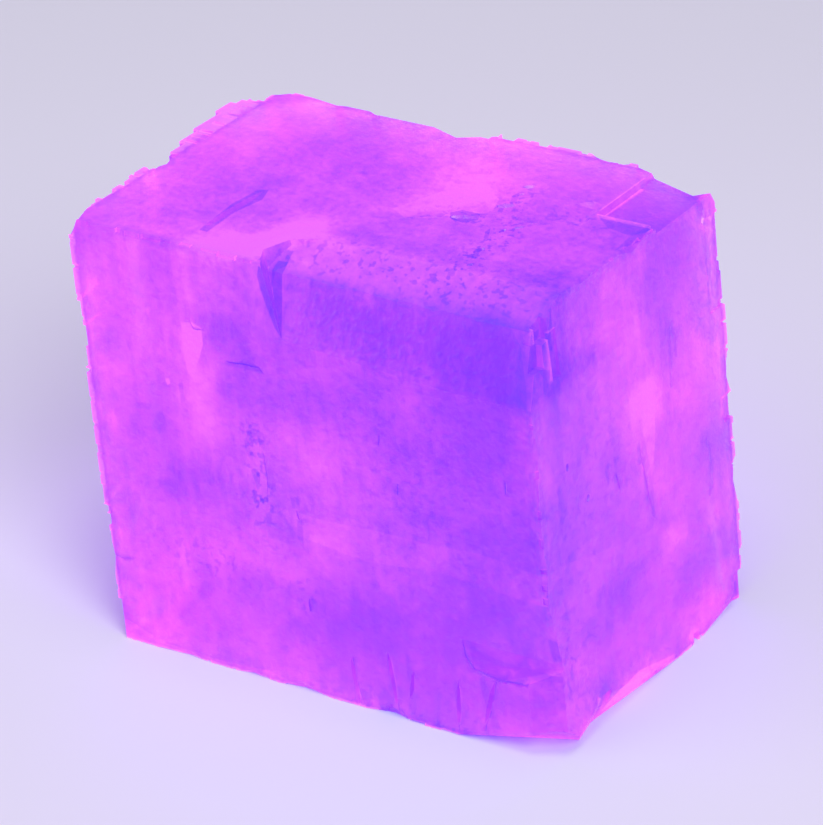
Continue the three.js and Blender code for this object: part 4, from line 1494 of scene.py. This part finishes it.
# ------------------------------------------------------------------ the studio
class Softbox(Enum):
    """The studio's soft lights: place, size, power and colour."""

    KEY = ((0.42, -0.30, 0.62), 0.50, 3.0, (1.0, 0.98, 1.0))
    FILL = ((-0.55, -0.35, 0.40), 0.60, 1.2, (0.96, 0.95, 1.0))
    TOP = ((-0.05, 0.08, 0.80), 0.45, 1.8, (1.0, 0.98, 1.0))


@dataclass(frozen=True)
class Studio:
    """The floor, the lights and the camera."""

    azimuth: float = 26.43
    elevation: float = 34.26
    roll: float = -1.43
    distance: float = 0.3554
    aim: Place = (0.0058, -0.0126, 0.0350)
    sensor: float = 36.0
    lens: float = 130.9
    nearest: float = 0.01
    floor_half: float = 3.0
    floor_gap: float = 0.02 * MM
    world_colour: Colour = (0.86, 0.86, 0.95)
    world_strength: float = 0.34
    bounces: int = 4
    floor_bounces: int = 1

    def build(self) -> None:
        """Sets up the whole studio."""
        self.build_camera()
        self.build_floor()
        self.build_world()
        for softbox in Softbox:
            self.build_light(softbox)

    def build_camera(self) -> None:
        """Puts the camera where the block is seen from above its front right edge."""
        azimuth, elevation, roll = (math.radians(v) for v in (self.azimuth, self.elevation, self.roll))
        flat = math.cos(elevation)
        back = Vector((math.sin(azimuth) * flat, -math.cos(azimuth) * flat, math.sin(elevation)))
        level = Vector((math.cos(azimuth), math.sin(azimuth), 0))
        upright = back.cross(level)
        right = level * math.cos(roll) + upright * math.sin(roll)
        up = upright * math.cos(roll) - level * math.sin(roll)
        data = bpy.data.cameras.new("camera")
        data.lens = self.lens
        data.sensor_width = self.sensor
        data.clip_start = self.nearest
        camera = bpy.data.objects.new("camera", data)
        turned = Matrix((right, up, back)).transposed().to_4x4()
        camera.matrix_world = Matrix.Translation(Vector(self.aim) + back * self.distance) @ turned
        bpy.context.scene.collection.objects.link(camera)
        bpy.context.scene.camera = camera

    def build_floor(self) -> None:
        """Lays the floor just under the block."""
        mesh = bpy.data.meshes.new("floor")
        half = self.floor_half
        corners = ((-half, -half), (half, -half), (half, half), (-half, half))
        mesh.from_pydata([(x, y, -self.floor_gap) for x, y in corners], [], [(0, 1, 2, 3)])
        mesh.materials.append(PaleFloor().material())
        floor = bpy.data.objects.new("floor", mesh)
        bpy.context.scene.collection.objects.link(floor)

    def build_world(self) -> None:
        """Gives the room an even pale light."""
        world = bpy.data.worlds.new("room")
        world.use_nodes = True
        graph = Graph(world.node_tree)
        values = {"Color": (*self.world_colour, 1.0), "Strength": self.world_strength}
        sky = graph.node("ShaderNodeBackground", {}, values)
        output = graph.node("ShaderNodeOutputWorld")
        graph.tree.links.new(sky.outputs[0], output.inputs["Surface"])
        bpy.context.scene.world = world
        bpy.context.scene.view_settings.view_transform = "Standard"
        bpy.context.scene.cycles.max_bounces = self.bounces
        bpy.context.scene.cycles.diffuse_bounces = self.floor_bounces

    @staticmethod
    def build_light(softbox: Softbox) -> None:
        """Hangs one soft light, turned towards the block.

        Args:
            softbox: Which light.
        """
        place, size, power, colour = softbox.value
        data = bpy.data.lights.new(softbox.name.lower(), "AREA")
        data.shape = "DISK"
        data.size = size
        data.energy = power
        data.color = colour
        light = bpy.data.objects.new(softbox.name.lower(), data)
        light.location = place
        light.rotation_euler = (-Vector(place)).to_track_quat("-Z", "Y").to_euler()
        bpy.context.scene.collection.objects.link(light)


def main() -> None:
    """Builds the block and the studio, and reports each piece."""
    logging.basicConfig(level=logging.INFO, format="%(name)s: %(message)s")
    Studio().build()
    block = SparBlock().build()
    LOG.info("%s: %d faces", block.name, len(block.data.polygons))


if __name__ == "__main__":
    main()
